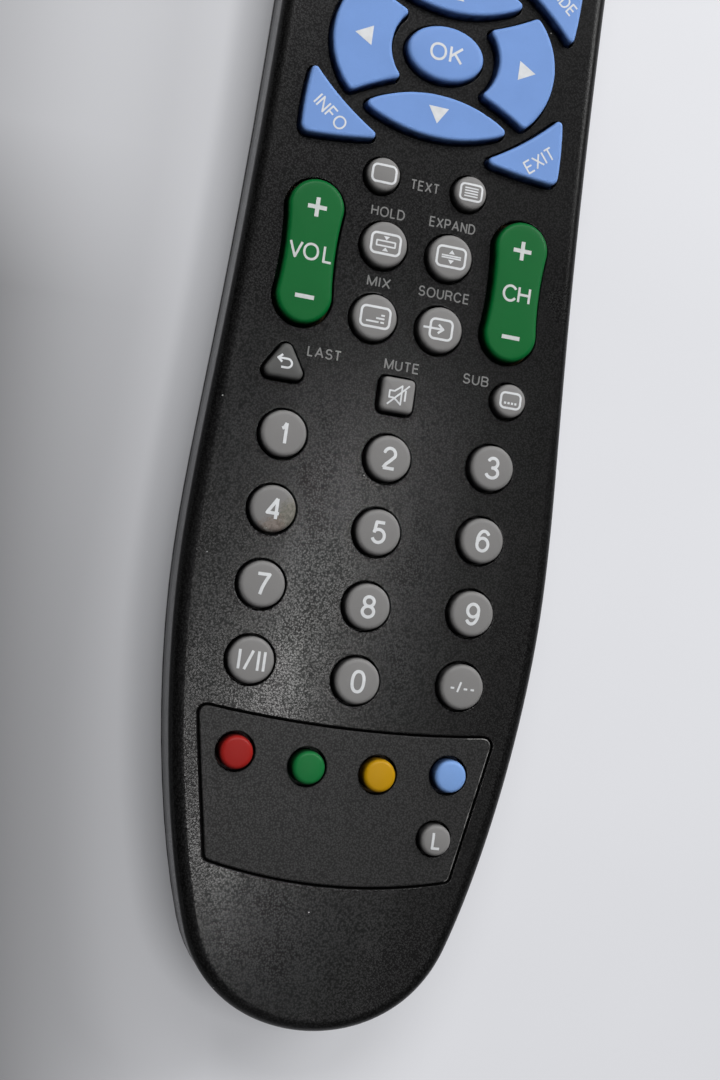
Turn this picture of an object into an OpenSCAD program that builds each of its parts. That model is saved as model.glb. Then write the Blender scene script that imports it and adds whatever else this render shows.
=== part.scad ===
// Hand-held universal remote control: two moulded half shells, a set of silicone keys that
// each travel in their own hole, a keypad mat, a circuit board and a two-cell battery bay
// closed by a hinged door on the back.
// The back lies on z = 0, +Y points to the infrared end, +X is to the right seen from the front.

/* [Housing] */
// Overall length from the tail to the nose
body_l = 222; // [220:1:232]
// Half width of the straight upper part
nose_half_w = 27.3; // [26.3:0.05:28.5]
// Half width at the widest place
belly_half_w = 30.9; // [29.9:0.05:32]
// Distance of the widest place from the tail
belly_from_tail = 74; // [68:1:80]
// Half width where the side turns into the tail
tail_half_w = 21.9; // [21:0.1:23]
// Distance of that turn from the tail
tail_turn = 15; // [13:0.5:17]
// Length of the rounded nose
nose_len = 24; // [20:1:28]
// Length of the tail that holds no keys
tail_free = 24; // [23:0.5:25]
// Length of the nose that holds no keys
nose_free = 19.5; // [19:0.5:20]
// Length of the key field for which the rows are set out below
field_l = 178.5; // [176:0.5:181]
// Height of the seam between the two shells above the back
seam_z = 12; // [11:0.1:13]
// Width of the open line along the seam
seam_gap = 0.3; // [0.2:0.05:0.5]
// Wall of both shells
wall = 2; // [1.8:0.05:2.4]
// Thickness of the front face
face_t = 2; // [1.8:0.05:2.6]
// Thickness of the flat back
back_t = 2.2; // [2.1:0.05:2.6]
// Radius of the edge round the front face
edge_r = 2.1; // [1.4:0.05:2.6]
// Lean of the side wall between the seam and that edge
side_draft = 0.35; // [0.2:0.05:0.6]
// Width over which the back curves in to its flat middle
back_curve = 8; // [6:0.25:9]
// Height of the locating tongue inside the seam
tongue_h = 1.3; // [0.8:0.1:1.8]
// Thickness of the locating tongue
tongue_t = 0.7; // [0.5:0.05:0.8]
// Play between the tongue and its rebate
tongue_gap = 0.2; // [0.15:0.05:0.3]

/* [Keys] */
// Rise of the key tops above the face
key_rise = 1.8; // [1.2:0.1:2.4]
// Travel of a pressed key
key_travel = 1; // [0.6:0.05:1.2]
// Space left under a fully pressed key
key_floor = 0.3; // [0.25:0.05:0.5]
// Play round each key in its hole
key_gap = 0.4; // [0.3:0.05:0.45]
// Width of the collar that keeps a key behind the face
collar_w = 0.8; // [0.6:0.05:0.85]
// Height of that collar
collar_h = 1.3; // [1:0.05:1.6]
// Space between the collar and the face
collar_gap = 0.4; // [0.3:0.05:0.6]
// Lean of a key's side up to its top edge
key_draft = 0.1; // [0.05:0.01:0.15]
// Radius of a key's top edge
key_edge = 0.45; // [0.3:0.05:0.5]
// Crown of a round key's top
key_crown = 0.12; // [0:0.02:0.2]
// Distance of the first digit row from the tail
digit_from_tail = 94; // [93:0.5:95]
// Distance between the digit columns
column_pitch = 17.5; // [16.8:0.1:18]
// Distance between the digit rows
row_pitch = 12; // [11.8:0.05:12.2]
// Drop of the middle column below the outer ones
row_sag = 1.2; // [0:0.1:1.6]
// Diameter of the digit and function keys
digit_d = 7.6; // [7:0.1:8]
// Distance of the two function rows from the first digit row
function_y = [20.8, 32.7]; // [19:0.1:34]
// Half distance between the two function columns
function_x = 5.55; // [5.5:0.05:6]
// Diameter of the two page keys
page_d = 5.7; // [5.2:0.1:6.2]
// Place of the right page key from the axis and the first digit row
page_at = [7.4, 43.8]; // [7:0.1:44]
// Length of the two rocker keys
rocker_l = 23.4; // [22.4:0.1:23.8]
// Width of the rocker keys at their round ends
rocker_w = 9.3; // [8.8:0.1:9.6]
// Inward curve of a rocker's side at its waist
rocker_waist = 0.45; // [0:0.05:0.7]
// Place of the right rocker from the axis and the first digit row
rocker_at = [17.45, 29.3]; // [17:0.05:30]
// Length of the ears that carry a rocker
rocker_ear = 9; // [7:0.5:10]
// Tilt of a rocker to either side
rocker_tilt = 4; // [2:0.5:4]
// Distance of the small key row from the first digit row
small_y = 10.2; // [10:0.1:10.6]
// Distance of the outer small keys from the axis
small_x = 18.95; // [18:0.05:19.2]
// Diameter of the round small key
small_d = 5.7; // [5:0.1:6]
// Side of the square small key
square_key = 5.8; // [5.2:0.1:6.2]
// Rise of the round small key above that row
small_rise = 1.2; // [0.8:0.1:1.3]
// Rise of the three-cornered small key above that row
triangle_rise = 0.9; // [0.6:0.1:1.2]
// Drop of the square small key below that row
square_drop = 1.1; // [0.8:0.1:1.2]
// Corner radius of the square small key
square_round = 1; // [0.6:0.1:1.4]
// Half base of the three-cornered small key before its corners are rounded
triangle_half = 4.2; // [3.8:0.1:4.3]
// Distance of that base below the key's place
triangle_base = 2.6; // [2.4:0.1:2.7]
// Corner radius of the three-cornered small key
triangle_round = 1.2; // [0.9:0.1:1.4]
// Height of the three-cornered small key before its corners are rounded
triangle_h = 6.9; // [6.2:0.1:7.2]

/* [Navigation keys] */
// Distance of the cluster's centre from the first digit row
nav_from_digit = 65.3; // [65:0.1:66]
// Half width and half height of the middle key
ok_half = [6.6, 4.6]; // [4:0.1:7]
// Reach of the side keys from the centre
nav_reach = 19.1; // [18.8:0.1:19.3]
// Upright reach of the upper and lower keys from the centre
nav_height = 14.1; // [13.8:0.1:14.3]
// Inner edge of the side keys from the centre
nav_inner = 9.1; // [8.9:0.05:9.3]
// Inner edge of the upper and lower keys from the centre
nav_lens = 6.7; // [6.5:0.05:6.8]
// Inner corner of the right key from the centre
side_inner = [6.5, 5.5]; // [5.3:0.1:6.7]
// Outer corner of the right key from the centre
side_outer = [14.9, 9.6]; // [9.4:0.1:15.1]
// Bow of the right key's slanting edges
side_bow = 0.25; // [0.1:0.05:0.4]
// Corner radii of the side keys, inner and outer
side_round = [0.8, 1]; // [0.6:0.1:1.2]
// Tip of the lower key from the centre
lens_tip = [12.9, 10.7]; // [10.5:0.1:13]
// Corner radius of the upper and lower keys
lens_round = 0.9; // [0.7:0.1:1]
// Inner tip of a corner key from the centre
corner_inner = [8, 16]; // [7.9:0.1:16.1]
// Side tip of a corner key from the centre
corner_side = [21.4, 5.6]; // [5.5:0.1:21.5]
// Bows of a corner key's edges: outer edges and the edge along the ring
corner_bow = [0.3, 0.8]; // [0.2:0.1:0.9]
// Corner radii of a corner key, outer and at its tips
corner_round = [1.4, 0.8]; // [0.7:0.1:1.6]
// Outer side of the corner keys from the axis
corner_reach = 22; // [21.8:0.1:22.4]
// Far edge of the corner keys from the centre
corner_drop = 17.6; // [17.4:0.1:17.9]

/* [Inlay] */
// Half width of the inlay's upper edge
inlay_top = 24.6; // [24.3:0.1:25]
// Half width of the inlay's lower edge
inlay_low = 20.1; // [19.8:0.1:20.6]
// Distance of the inlay's upper corners from the first digit row
inlay_y0 = 43.7; // [43.4:0.1:44.2]
// Distance of the inlay's lower corners from the first digit row
inlay_y1 = 67.6; // [67.2:0.1:69]
// Sag of the inlay's upper edge
inlay_sag = 1.5; // [1:0.1:1.7]
// Sag of the inlay's lower edge
inlay_belly = 2.4; // [1.6:0.1:2.8]
// Corner radii of the inlay, lower and upper
inlay_round = [1, 1.3]; // [0.8:0.1:1.6]
// Thickness of the inlay
inlay_t = 0.8; // [0.6:0.05:1]
// Play round the inlay in its pocket
inlay_gap = 0.3; // [0.2:0.05:0.4]
// Diameter of the coloured keys
colour_d = 5.8; // [5.2:0.1:6.2]
// Distance of the inner and the outer coloured keys from the axis
colour_x = [5.87, 17.7]; // [5.6:0.05:18]
// Distance of the inner and the outer coloured keys from the first digit row
colour_y = [51.7, 50.55]; // [50:0.05:52.5]
// Diameter of the single key under the coloured ones
lone_d = 5.3; // [5:0.1:5.8]
// Place of the single key from the axis and the first digit row
lone_at = [16.7, 61]; // [16:0.1:61.4]

/* [Upper keys and infrared end] */
// Distance of the device key row from the nose
device_from_nose = 35.5; // [35:0.1:36.5]
// Distance of the power key from the nose
power_from_nose = 23.5; // [23:0.1:24]
// Distance of the indicator from the nose
lamp_from_nose = 14.5; // [14.2:0.1:15]
// Diameter of the indicator
lamp_d = 3; // [2.8:0.1:3.2]
// Width of the infrared window
window_w = 32; // [28:0.5:34]
// Height of the infrared window
window_h = 5; // [4:0.1:5.2]
// Height of the window's lower edge above the seam
window_up = 0.8; // [0.7:0.05:1]
// Play round the window in its slot
window_gap = 0.25; // [0.2:0.05:0.3]
// Depth of the window's slot behind the nose
window_deep = 10; // [9.5:0.5:11]
// Thickness of the flange behind the window's slot
flange_t = 0.9; // [0.7:0.05:1]
// Reach of that flange past the slot at each side
flange_w = 1; // [0.6:0.1:1.2]
// Depth of the window's face behind the wall
window_sink = 0.5; // [0.45:0.05:0.7]
// Diameter of the infrared emitters
emitter_d = 5; // [4.8:0.1:5]
// Distance of each emitter from the axis
emitter_x = 8; // [7.5:0.1:9]
// Straight length of an emitter's body
emitter_l = 5.6; // [5:0.1:6]
// Width and length of the rim at an emitter's foot
emitter_rim = [0.4, 1]; // [0.3:0.1:1.2]
// Depth of an emitter's axis below the top of the board
emitter_drop = 0.8; // [0.6:0.05:1]
// Gap between the board's end and an emitter
emitter_gap = 0.3; // [0.2:0.05:0.4]
// Thickness, pitch and length on the board of an emitter's legs
emitter_leg = [0.5, 2.54, 4]; // [0.4:0.01:5]

/* [Board and mat] */
// Thickness of the circuit board
board_t = 1.6; // [1:0.1:1.8]
// Space between the housing wall and the board and mat
board_gap = 0.5; // [0.4:0.05:0.7]
// Thickness of the keypad mat
mat_t = 1.6; // [1:0.1:1.8]
// Play between the mat and the key collars
mat_gap = 0.35; // [0.3:0.05:0.4]
// Distance of the board's straight end from the nose
board_end = 13; // [12.8:0.1:13.5]
// Distance of the mat's straight end from the nose
mat_end = 18.5; // [18:0.1:18.9]
// Width, length and thickness of the controller
chip = [7.5, 17.8, 2.3]; // [2:0.1:18]
// Distance of the controller from the navigation keys' centre
chip_from_nav = 18; // [17:0.5:19]
// Pitch of the controller's legs
leg_pitch = 1.27; // [1.2:0.01:1.27]
// Width, reach and thickness of a controller leg
leg = [0.4, 1.45, 0.3]; // [0.25:0.05:1.6]
// Space between the controller and the board
chip_gap = 0.2; // [0.1:0.05:0.3]
// Width, length and height of the resonator
resonator_box = [3.2, 7.4, 5.5]; // [2.8:0.1:8]
// Place of the resonator from the axis and the navigation keys' centre
resonator_at = [9, 6]; // [5:0.5:10]
// Pitch of the resonator's legs
resonator_pitch = 2.5; // [2.3:0.1:2.6]
// Diameter of the wire legs
wire_d = 0.6; // [0.5:0.05:0.7]
// Diameter and length of the capacitor
can = [5, 9.5]; // [4.6:0.1:10]
// Place of the capacitor from the axis and the navigation keys' centre
can_at = [10, 8]; // [7:0.5:11]
// Depth of the crimped groove round the capacitor
can_groove = 0.3; // [0.2:0.05:0.4]

/* [Battery bay] */
// Diameter of a cell
cell_d = 10.5; // [10:0.1:10.6]
// Length of a cell with its nub
cell_l = 44.5; // [44:0.1:45.5]
// Play round the cells
cell_gap = 0.35; // [0.3:0.05:0.4]
// Length left for a compressed contact spring
spring_l = 5; // [4.4:0.1:6]
// Wire of the contact springs
spring_wire = 0.6; // [0.5:0.05:0.7]
// Radius of a contact spring at its wide and its narrow end
spring_r = [3.6, 1.9]; // [1.8:0.1:3.7]
// Width of a contact plate
plate_w = 8.4; // [8:0.1:8.8]
// Width of a contact's tail
tail_w = 2.4; // [2:0.1:2.6]
// Diameters of the pressed dimple at its foot and its top
nub_d = [5, 3.6]; // [3.2:0.1:5.4]
// Play round a contact's tail
slot_gap = 0.2; // [0.15:0.05:0.3]
// Thickness of the contact plates
plate_t = 0.4; // [0.3:0.05:0.5]
// Height of the pressed dimple on a flat contact
nub_press = 0.5; // [0.4:0.05:0.6]
// Wall of the bay
bay_wall = 1.4; // [1.2:0.1:1.8]
// Distance of the bay's middle from the tail
bay_from_tail = 74.5; // [73:0.5:77]
// Width of the door
door_w = 31; // [30:0.5:33]
// Margin of the door past the bay at each end
door_margin = 6; // [5.5:0.1:7]
// Thickness of the door
door_t = 1.8; // [1.6:0.05:1.9]
// Corner radius of the door
door_round = 1.6; // [1.2:0.1:2]
// Corner radius of the door's opening
seat_round = 0.9; // [0.6:0.1:1.1]
// Depth of the door's face under the back
door_sink = 0.2; // [0.1:0.05:0.4]
// Play round the door
door_gap = 0.35; // [0.3:0.05:0.5]
// Length of the door's two tongues
door_tongue = 2; // [1.6:0.1:2.4]
// Width of a tongue
tongue_w = 6; // [5:0.5:7]
// Distance of a tongue's middle from the door's side
tongue_from_side = 6; // [5.5:0.5:7]
// Thickness of the ledge behind the door's edge
ledge_t = 1.4; // [1.2:0.1:1.6]
// Half width of the latch tab between its slits
tab_half_w = 6; // [5:0.5:7]
// Length and width of those slits
tab_slit = [6, 1]; // [0.8:0.1:6.5]
// Length of the first grip groove
grip_w = 10; // [8:0.5:11]
// Number of grip grooves
grip_count = 5; // [3:1:6]
// Pitch, width and depth of the grip grooves
grip = [1.6, 0.8, 0.5]; // [0.4:0.1:1.8]
// Distance of the first grip groove from the door's end
grip_from_end = 9; // [8.6:0.1:10]
// Radius of the finger hollow at the latch
hollow_r = 7.4; // [7:0.1:7.8]
// Depth of the finger hollow
hollow_deep = 1.8; // [1.4:0.1:1.9]
// Thickness of the rib between the cells
rib_t = 1.4; // [1:0.1:1.6]
// Height of that rib
rib_h = 1.4; // [1:0.1:1.6]
// Opening angle of the door
door_open = 70; // [45:1:75]

/* [Fasteners] */
// Diameter of the screw posts
post_d = 6.4; // [6:0.1:7]
// Diameter of a screw's head
screw_head_d = 4.4; // [4:0.1:4.6]
// Diameter of a screw's shank
screw_d = 2; // [1.8:0.1:2.2]
// Height of a screw's head
screw_head_h = 1.7; // [1.5:0.1:1.9]
// Depth of a screw's head seat above the back
head_z = 7; // [6.5:0.1:7.4]
// Space between a post and the board
post_gap = 1.4; // [1.2:0.1:1.6]
// Length and width of the cross in a screw's head
cross_slot = [2.4, 0.6]; // [0.5:0.1:2.6]
// Play round a screw
screw_gap = 0.2; // [0.15:0.05:0.3]
// Place of the upper right screw from the axis and the nose
screw_top = [17, 15]; // [14:0.5:18]
// Place of the lower right screw from the axis and the tail
screw_low = [9, 12]; // [8:0.5:13]

/* [Hidden] */
$fn = 64;

black = "#232325";
panel_black = "#313133";
grey = "#6f7071";
blue = "#7a9cd2";
green = "#216439";

// Heights, from the back upward: door, cells, bay roof, board, keys, face
door_in = door_sink + door_t;
cell_z = door_in + cell_gap + cell_d / 2;
bay_roof = cell_z + cell_d / 2 + cell_gap / 2;
board_z = bay_roof + bay_wall;
board_top = board_z + board_t;
key_base = board_top + key_floor + key_travel;
collar_top = key_base + collar_h;
face_under = collar_top + collar_gap;
face_z = face_under + face_t;
key_top = face_z + key_rise;

// Places along the length
tail_y = -body_l / 2;
nose_y = body_l / 2;
belly_y = tail_y + belly_from_tail;
row_share = (body_l - tail_free - nose_free) / field_l;
digit_y = tail_y + tail_free + (digit_from_tail - tail_free) * row_share;
nav_y = digit_y + nav_from_digit * row_share;
bay_y = tail_y + bay_from_tail;
bay_w = 2 * cell_d + 3 * cell_gap;
bay_l = cell_l + spring_l + 2 * plate_t + nub_press;
bay_y0 = bay_y - bay_l / 2;
bay_y1 = bay_y + bay_l / 2;
cell_x = (cell_d + cell_gap) / 2;
door_y0 = bay_y0 - door_margin;
door_y1 = bay_y1 + door_margin;
pivot_z = door_sink + door_t / 2;
pivot_y = door_y0 + door_t / 2;
tongue_x = door_w / 2 - tongue_from_side;
ledge_z = door_in + door_gap;
// Reach of an opened tongue past the pivot, at the height of the ledge
tongue_swing = door_t / 2 * sin(door_open)
    - (ledge_z - pivot_z - door_t / 2 * cos(door_open)) / tan(door_open);
// Underside of a rocker, whose end clears the board at full tilt
rocker_base = board_top + key_floor + rocker_l / 2 * sin(rocker_tilt);

// Curves
function bez(a, b, c, d, t) =
    pow(1 - t, 3) * a + 3 * t * pow(1 - t, 2) * b + 3 * t * t * (1 - t) * c + pow(t, 3) * d;
function unit(v) = v / norm(v);
function out_normal(p, q) = let (e = unit(q - p)) [e[1], -e[0]];
function turn(v, a) = [v[0] * cos(a) - v[1] * sin(a), v[0] * sin(a) + v[1] * cos(a)];

// A closed outline moved outward by d, each edge staying parallel to itself
function grow(pts, d) = let (n = len(pts)) [
    for (i = [0:n - 1])
        let (a = out_normal(pts[(i + n - 1) % n], pts[i]),
             b = out_normal(pts[i], pts[(i + 1) % n]))
        pts[i] + d * (a + b) / (1 + a * b)
];

// Points between p and q on an arc that bulges to the left of the way from p to q by sag
function arc_points(p, q, sag, n) =
    let (c = norm(q - p) / 2, m = (p + q) / 2, e = unit(q - p), l = [-e[1], e[0]],
         r = (c * c + sag * sag) / (2 * sag), a = asin(c / r), o = m + l * (sag - r))
    [for (i = [1:n - 1]) let (f = a * (2 * i / n - 1)) o + r * (l * cos(f) + e * sin(f))];

// A corner p between a and b rounded with radius r in n steps
function corner(a, p, b, r, n) =
    let (u = unit(a - p), v = unit(b - p), h = acos(u * v) / 2,
         s = p + u * r / tan(h), o = p + unit(u + v) * r / sin(h),
         w = sign(cross(p - a, b - p)) * (180 - 2 * h))
    [for (i = [0:n]) o + turn(s - o, w * i / n)];

function flat(p) = [p[0], p[1]];

// A closed line whose points carry a radius each, rounded where the radius isn't zero
function rounded(pts, n = 4) = let (m = len(pts)) [
    for (i = [0:m - 1])
        each (pts[i][2] == 0 ? [flat(pts[i])]
            : corner(flat(pts[(i + m - 1) % m]), flat(pts[i]), flat(pts[(i + 1) % m]), pts[i][2], n))
];

// Corners [x, y, radius, sag of the edge to the next corner, steps of that edge], in turn
function shaped(c, n = 4) = let (m = len(c)) rounded([
    for (i = [0:m - 1])
        each concat([[c[i][0], c[i][1], c[i][2]]],
            c[i][3] == 0 ? [] : [
                for (p = arc_points(flat(c[i]), flat(c[(i + 1) % m]), c[i][3], c[i][4]))
                    [p[0], p[1], 0]])
], n);

function mirror_x(pts) = [for (i = [len(pts) - 1:-1:0]) [-pts[i][0], pts[i][1]]];
function mirror_y(pts) = [for (i = [len(pts) - 1:-1:0]) [pts[i][0], -pts[i][1]]];
function moved(pts, v) = [for (p = pts) p + v];
function rectangle(w, l, r) = rounded([[w / 2, -l / 2, r], [w / 2, l / 2, r],
                                       [-w / 2, l / 2, r], [-w / 2, -l / 2, r]]);

// Outline of the housing: tail, flank, side and nose of the right half, then mirrored
tail_dir = [-cos(71), -sin(71)];
turn_at = [tail_half_w, tail_y + tail_turn];
shoulder_y = nose_y - nose_len;
right_half = concat(
    [for (i = [0:13]) bez([0, tail_y], [tail_half_w * 0.382, tail_y],
                          turn_at + 11.6 * tail_dir, turn_at, i / 14)],
    [for (i = [0:9]) bez(turn_at, turn_at - 15.4 * tail_dir,
                         [belly_half_w, belly_y - 20.4], [belly_half_w, belly_y], i / 10)],
    [for (i = [0:13]) bez([belly_half_w, belly_y], [belly_half_w, belly_y + 24],
                          [nose_half_w, belly_y + 44.5], [nose_half_w, shoulder_y], i / 14)],
    [for (i = [0:10]) bez([nose_half_w, shoulder_y], [nose_half_w, shoulder_y + nose_len * 0.58],
                          [nose_half_w * 0.64, nose_y], [0, nose_y], i / 10)]
);
outline = concat(right_half, [for (i = [len(right_half) - 2:-1:1]) [-right_half[i][0], right_half[i][1]]]);

// Mean of an outline's points
function mean(pts) = [for (p = pts) 1] * pts / len(pts);

// A solid through rings of [outline, height], lowest first, each end closed round a middle point
module loft(rings) {
    n = len(rings[0][0]);
    m = len(rings);
    low = mean(rings[0][0]);
    high = mean(rings[m - 1][0]);
    points = concat([for (r = rings) for (p = r[0]) [p[0], p[1], r[1]]],
        [[low[0], low[1], rings[0][1]], [high[0], high[1], rings[m - 1][1]]]);
    sides = [for (k = [0:m - 2]) for (i = [0:n - 1]) let (j = (i + 1) % n)
        each [[k * n + i, (k + 1) * n + i, (k + 1) * n + j], [k * n + i, (k + 1) * n + j, k * n + j]]];
    ends = [for (i = [0:n - 1]) let (j = (i + 1) % n, t = (m - 1) * n)
        each [[i, j, m * n], [t + j, t + i, m * n + 1]]];
    polyhedron(points, concat(sides, ends));
}

module prism(pts, z0, z1) {
    translate([0, 0, z0]) linear_extrude(z1 - z0) polygon(pts);
}

module rod(x, y, d, z0, z1) {
    translate([x, y, z0]) cylinder(d = d, h = z1 - z0);
}

module block(x0, x1, y0, y1, z0, z1) {
    translate([x0, y0, z0]) cube([x1 - x0, y1 - y0, z1 - z0]);
}

// Key places and outlines
function digit_at(col, row) =
    [(col - 1) * column_pitch, digit_y - row * row_pitch * row_share - (col == 1 ? row_sag : 0)];
function from_digit(p) = [p[0], digit_y + p[1] * row_share];
function from_nose(d) = nose_y - nose_free - (d - nose_free) * row_share;
device_y = from_nose(device_from_nose);
power_at = [0, from_nose(power_from_nose)];
lamp_at = [0, nose_y - lamp_from_nose];

// Round keys as [place, diameter]
page_on = [from_digit(page_at), page_d];
page_off = [from_digit([-page_at[0], page_at[1]]), page_d];
hold = [from_digit([-function_x, function_y[1]]), digit_d];
expand = [from_digit([function_x, function_y[1]]), digit_d];
mix = [from_digit([-function_x, function_y[0]]), digit_d];
source = [from_digit([function_x, function_y[0]]), digit_d];
subtitle = [from_digit([small_x, small_y + small_rise]), small_d];
red = [from_digit([-colour_x[1], -colour_y[1]]), colour_d];
lime = [from_digit([-colour_x[0], -colour_y[0]]), colour_d];
yellow = [from_digit([colour_x[0], -colour_y[0]]), colour_d];
cyan = [from_digit([colour_x[1], -colour_y[1]]), colour_d];
learn = [from_digit([lone_at[0], -lone_at[1]]), lone_d];
power = [power_at, digit_d];
devices = [for (k = [-1, 0, 1, 2])
    let (side = k < 1 ? -1 : 1, far = (k == -1 || k == 2) ? 1 : 0)
    [[side * colour_x[far], device_y - far * (colour_y[0] - colour_y[1])], colour_d]];
digits = [for (row = [0:3]) for (col = [0:2]) [digit_at(col, row), digit_d]];
face_round = concat([page_on, page_off, hold, expand, mix, source, subtitle, power], devices, digits);
inlay_keys = [red, lime, yellow, cyan, learn];

// Outlines of the other keys
function in_nav(pts) = [for (p = pts) [p[0], nav_y + p[1] * row_share]];
ok_pts = in_nav([for (i = [0:35]) [ok_half[0] * cos(i * 10), ok_half[1] * sin(i * 10)]]);
right_raw = shaped([
    [side_inner[0], -side_inner[1], side_round[0], side_bow, 4],
    [side_outer[0], -side_outer[1], side_round[1], side_outer[0] - nav_reach, 8],
    [side_outer[0], side_outer[1], side_round[1], side_bow, 4],
    [side_inner[0], side_inner[1], side_round[0], nav_inner - side_inner[0], 6]]);
right_pts = in_nav(right_raw);
left_pts = in_nav(mirror_x(right_raw));
down_raw = shaped([
    [-lens_tip[0], -lens_tip[1], lens_round, lens_tip[1] - nav_height, 8],
    [lens_tip[0], -lens_tip[1], lens_round, nav_lens - lens_tip[1], 8]]);
down_pts = in_nav(down_raw);
up_pts = in_nav(mirror_y(down_raw));
info_raw = shaped([
    [-corner_reach, -corner_drop, corner_round[0], -corner_bow[0], 5],
    [-corner_inner[0], -corner_inner[1], corner_round[1], corner_bow[1], 6],
    [-corner_side[0], -corner_side[1], corner_round[1], -corner_bow[0], 4]]);
info_pts = in_nav(info_raw);
exit_pts = in_nav(mirror_x(info_raw));
menu_pts = in_nav(mirror_y(info_raw));
guide_pts = in_nav(mirror_x(mirror_y(info_raw)));
rocker_end = rocker_l / 2 - rocker_w / 2;
rocker_raw = concat(
    [for (i = [0:12]) [0, rocker_end] + rocker_w / 2 * [cos(i * 15), sin(i * 15)]],
    arc_points([-rocker_w / 2, rocker_end], [-rocker_w / 2, -rocker_end], rocker_waist + 0.001, 6),
    [for (i = [12:24]) [0, -rocker_end] + rocker_w / 2 * [cos(i * 15), sin(i * 15)]],
    arc_points([rocker_w / 2, -rocker_end], [rocker_w / 2, rocker_end], rocker_waist + 0.001, 6));
volume_at = from_digit([-rocker_at[0], rocker_at[1]]);
channel_at = from_digit(rocker_at);
last_pts = moved(rounded([
    [-triangle_half, -triangle_base, triangle_round], [triangle_half, -triangle_base, triangle_round],
    [0, triangle_h - triangle_base, triangle_round]], 6),
    from_digit([-small_x, small_y + triangle_rise]));
mute_pts = moved(rectangle(square_key, square_key, square_round), from_digit([0, small_y - square_drop]));
face_shapes = [ok_pts, right_pts, left_pts, down_pts, up_pts, info_pts, exit_pts, menu_pts, guide_pts,
               last_pts, mute_pts, moved(rocker_raw, volume_at), moved(rocker_raw, channel_at)];
nav_shapes = [ok_pts, right_pts, left_pts, down_pts, up_pts, info_pts, exit_pts, menu_pts, guide_pts];

inlay_start = digit_y - inlay_y0 * row_share;
inlay_end = digit_y - inlay_y1 * row_share;
inlay_pts = shaped([
    [-inlay_low, inlay_end, inlay_round[0], -inlay_belly, 10],
    [inlay_low, inlay_end, inlay_round[0], 0, 0],
    [inlay_top, inlay_start, inlay_round[1], inlay_sag, 10],
    [-inlay_top, inlay_start, inlay_round[1], 0, 0]]);

screws = [for (s = [-1, 1]) each [[s * screw_top[0], nose_y - screw_top[1]],
                                  [s * screw_low[0], tail_y + screw_low[1]]]];
post_top = board_z - post_gap;

// Board outline, cut straight behind the emitters
board_nose = nose_y - board_end;
mat_nose = nose_y - mat_end;

module key_holes(z0, z1) {
    for (k = face_round) rod(k[0][0], k[0][1], k[1] + 2 * key_gap, z0, z1);
    for (p = face_shapes) prism(grow(p, key_gap), z0, z1);
}

module inlay_holes(z0, z1) {
    for (k = inlay_keys) rod(k[0][0], k[0][1], k[1] + 2 * key_gap, z0, z1);
}

// Front half: drafted side wall, rounded edge, face with a hole for every key
module top_shell() {
    edge_z = face_z - edge_r;
    color(black) difference() {
        union() {
            difference() {
                loft(concat([[outline, seam_z]], [for (a = [0:18:90])
                    [grow(outline, -side_draft - edge_r * (1 - cos(a))), edge_z + edge_r * sin(a)]]));
                prism(grow(outline, -wall), seam_z - 1, face_under);
            }
            difference() {
                prism(grow(outline, tongue_t - wall), seam_z - tongue_h, seam_z + 1);
                prism(grow(outline, -wall), seam_z - tongue_h - 1, seam_z + 2);
            }
            for (s = screws) rod(s[0], s[1], post_d - 1, post_top, face_under + 0.5);
        }
        key_holes(face_under - 1, face_z + 1);
        inlay_holes(face_under - 1, face_z + 1);
        prism(grow(inlay_pts, inlay_gap), face_z - inlay_t, face_z + 1);
        rod(lamp_at[0], lamp_at[1], lamp_d + 2 * key_gap, face_under - 1, face_z + 1);
        for (s = screws) rod(s[0], s[1], screw_d + screw_gap, post_top - 1, face_under - 0.6);
        block(-window_w / 2, window_w / 2, nose_y - window_deep, nose_y + 1,
              seam_z + window_up, seam_z + window_up + window_h);
    }
}

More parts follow.
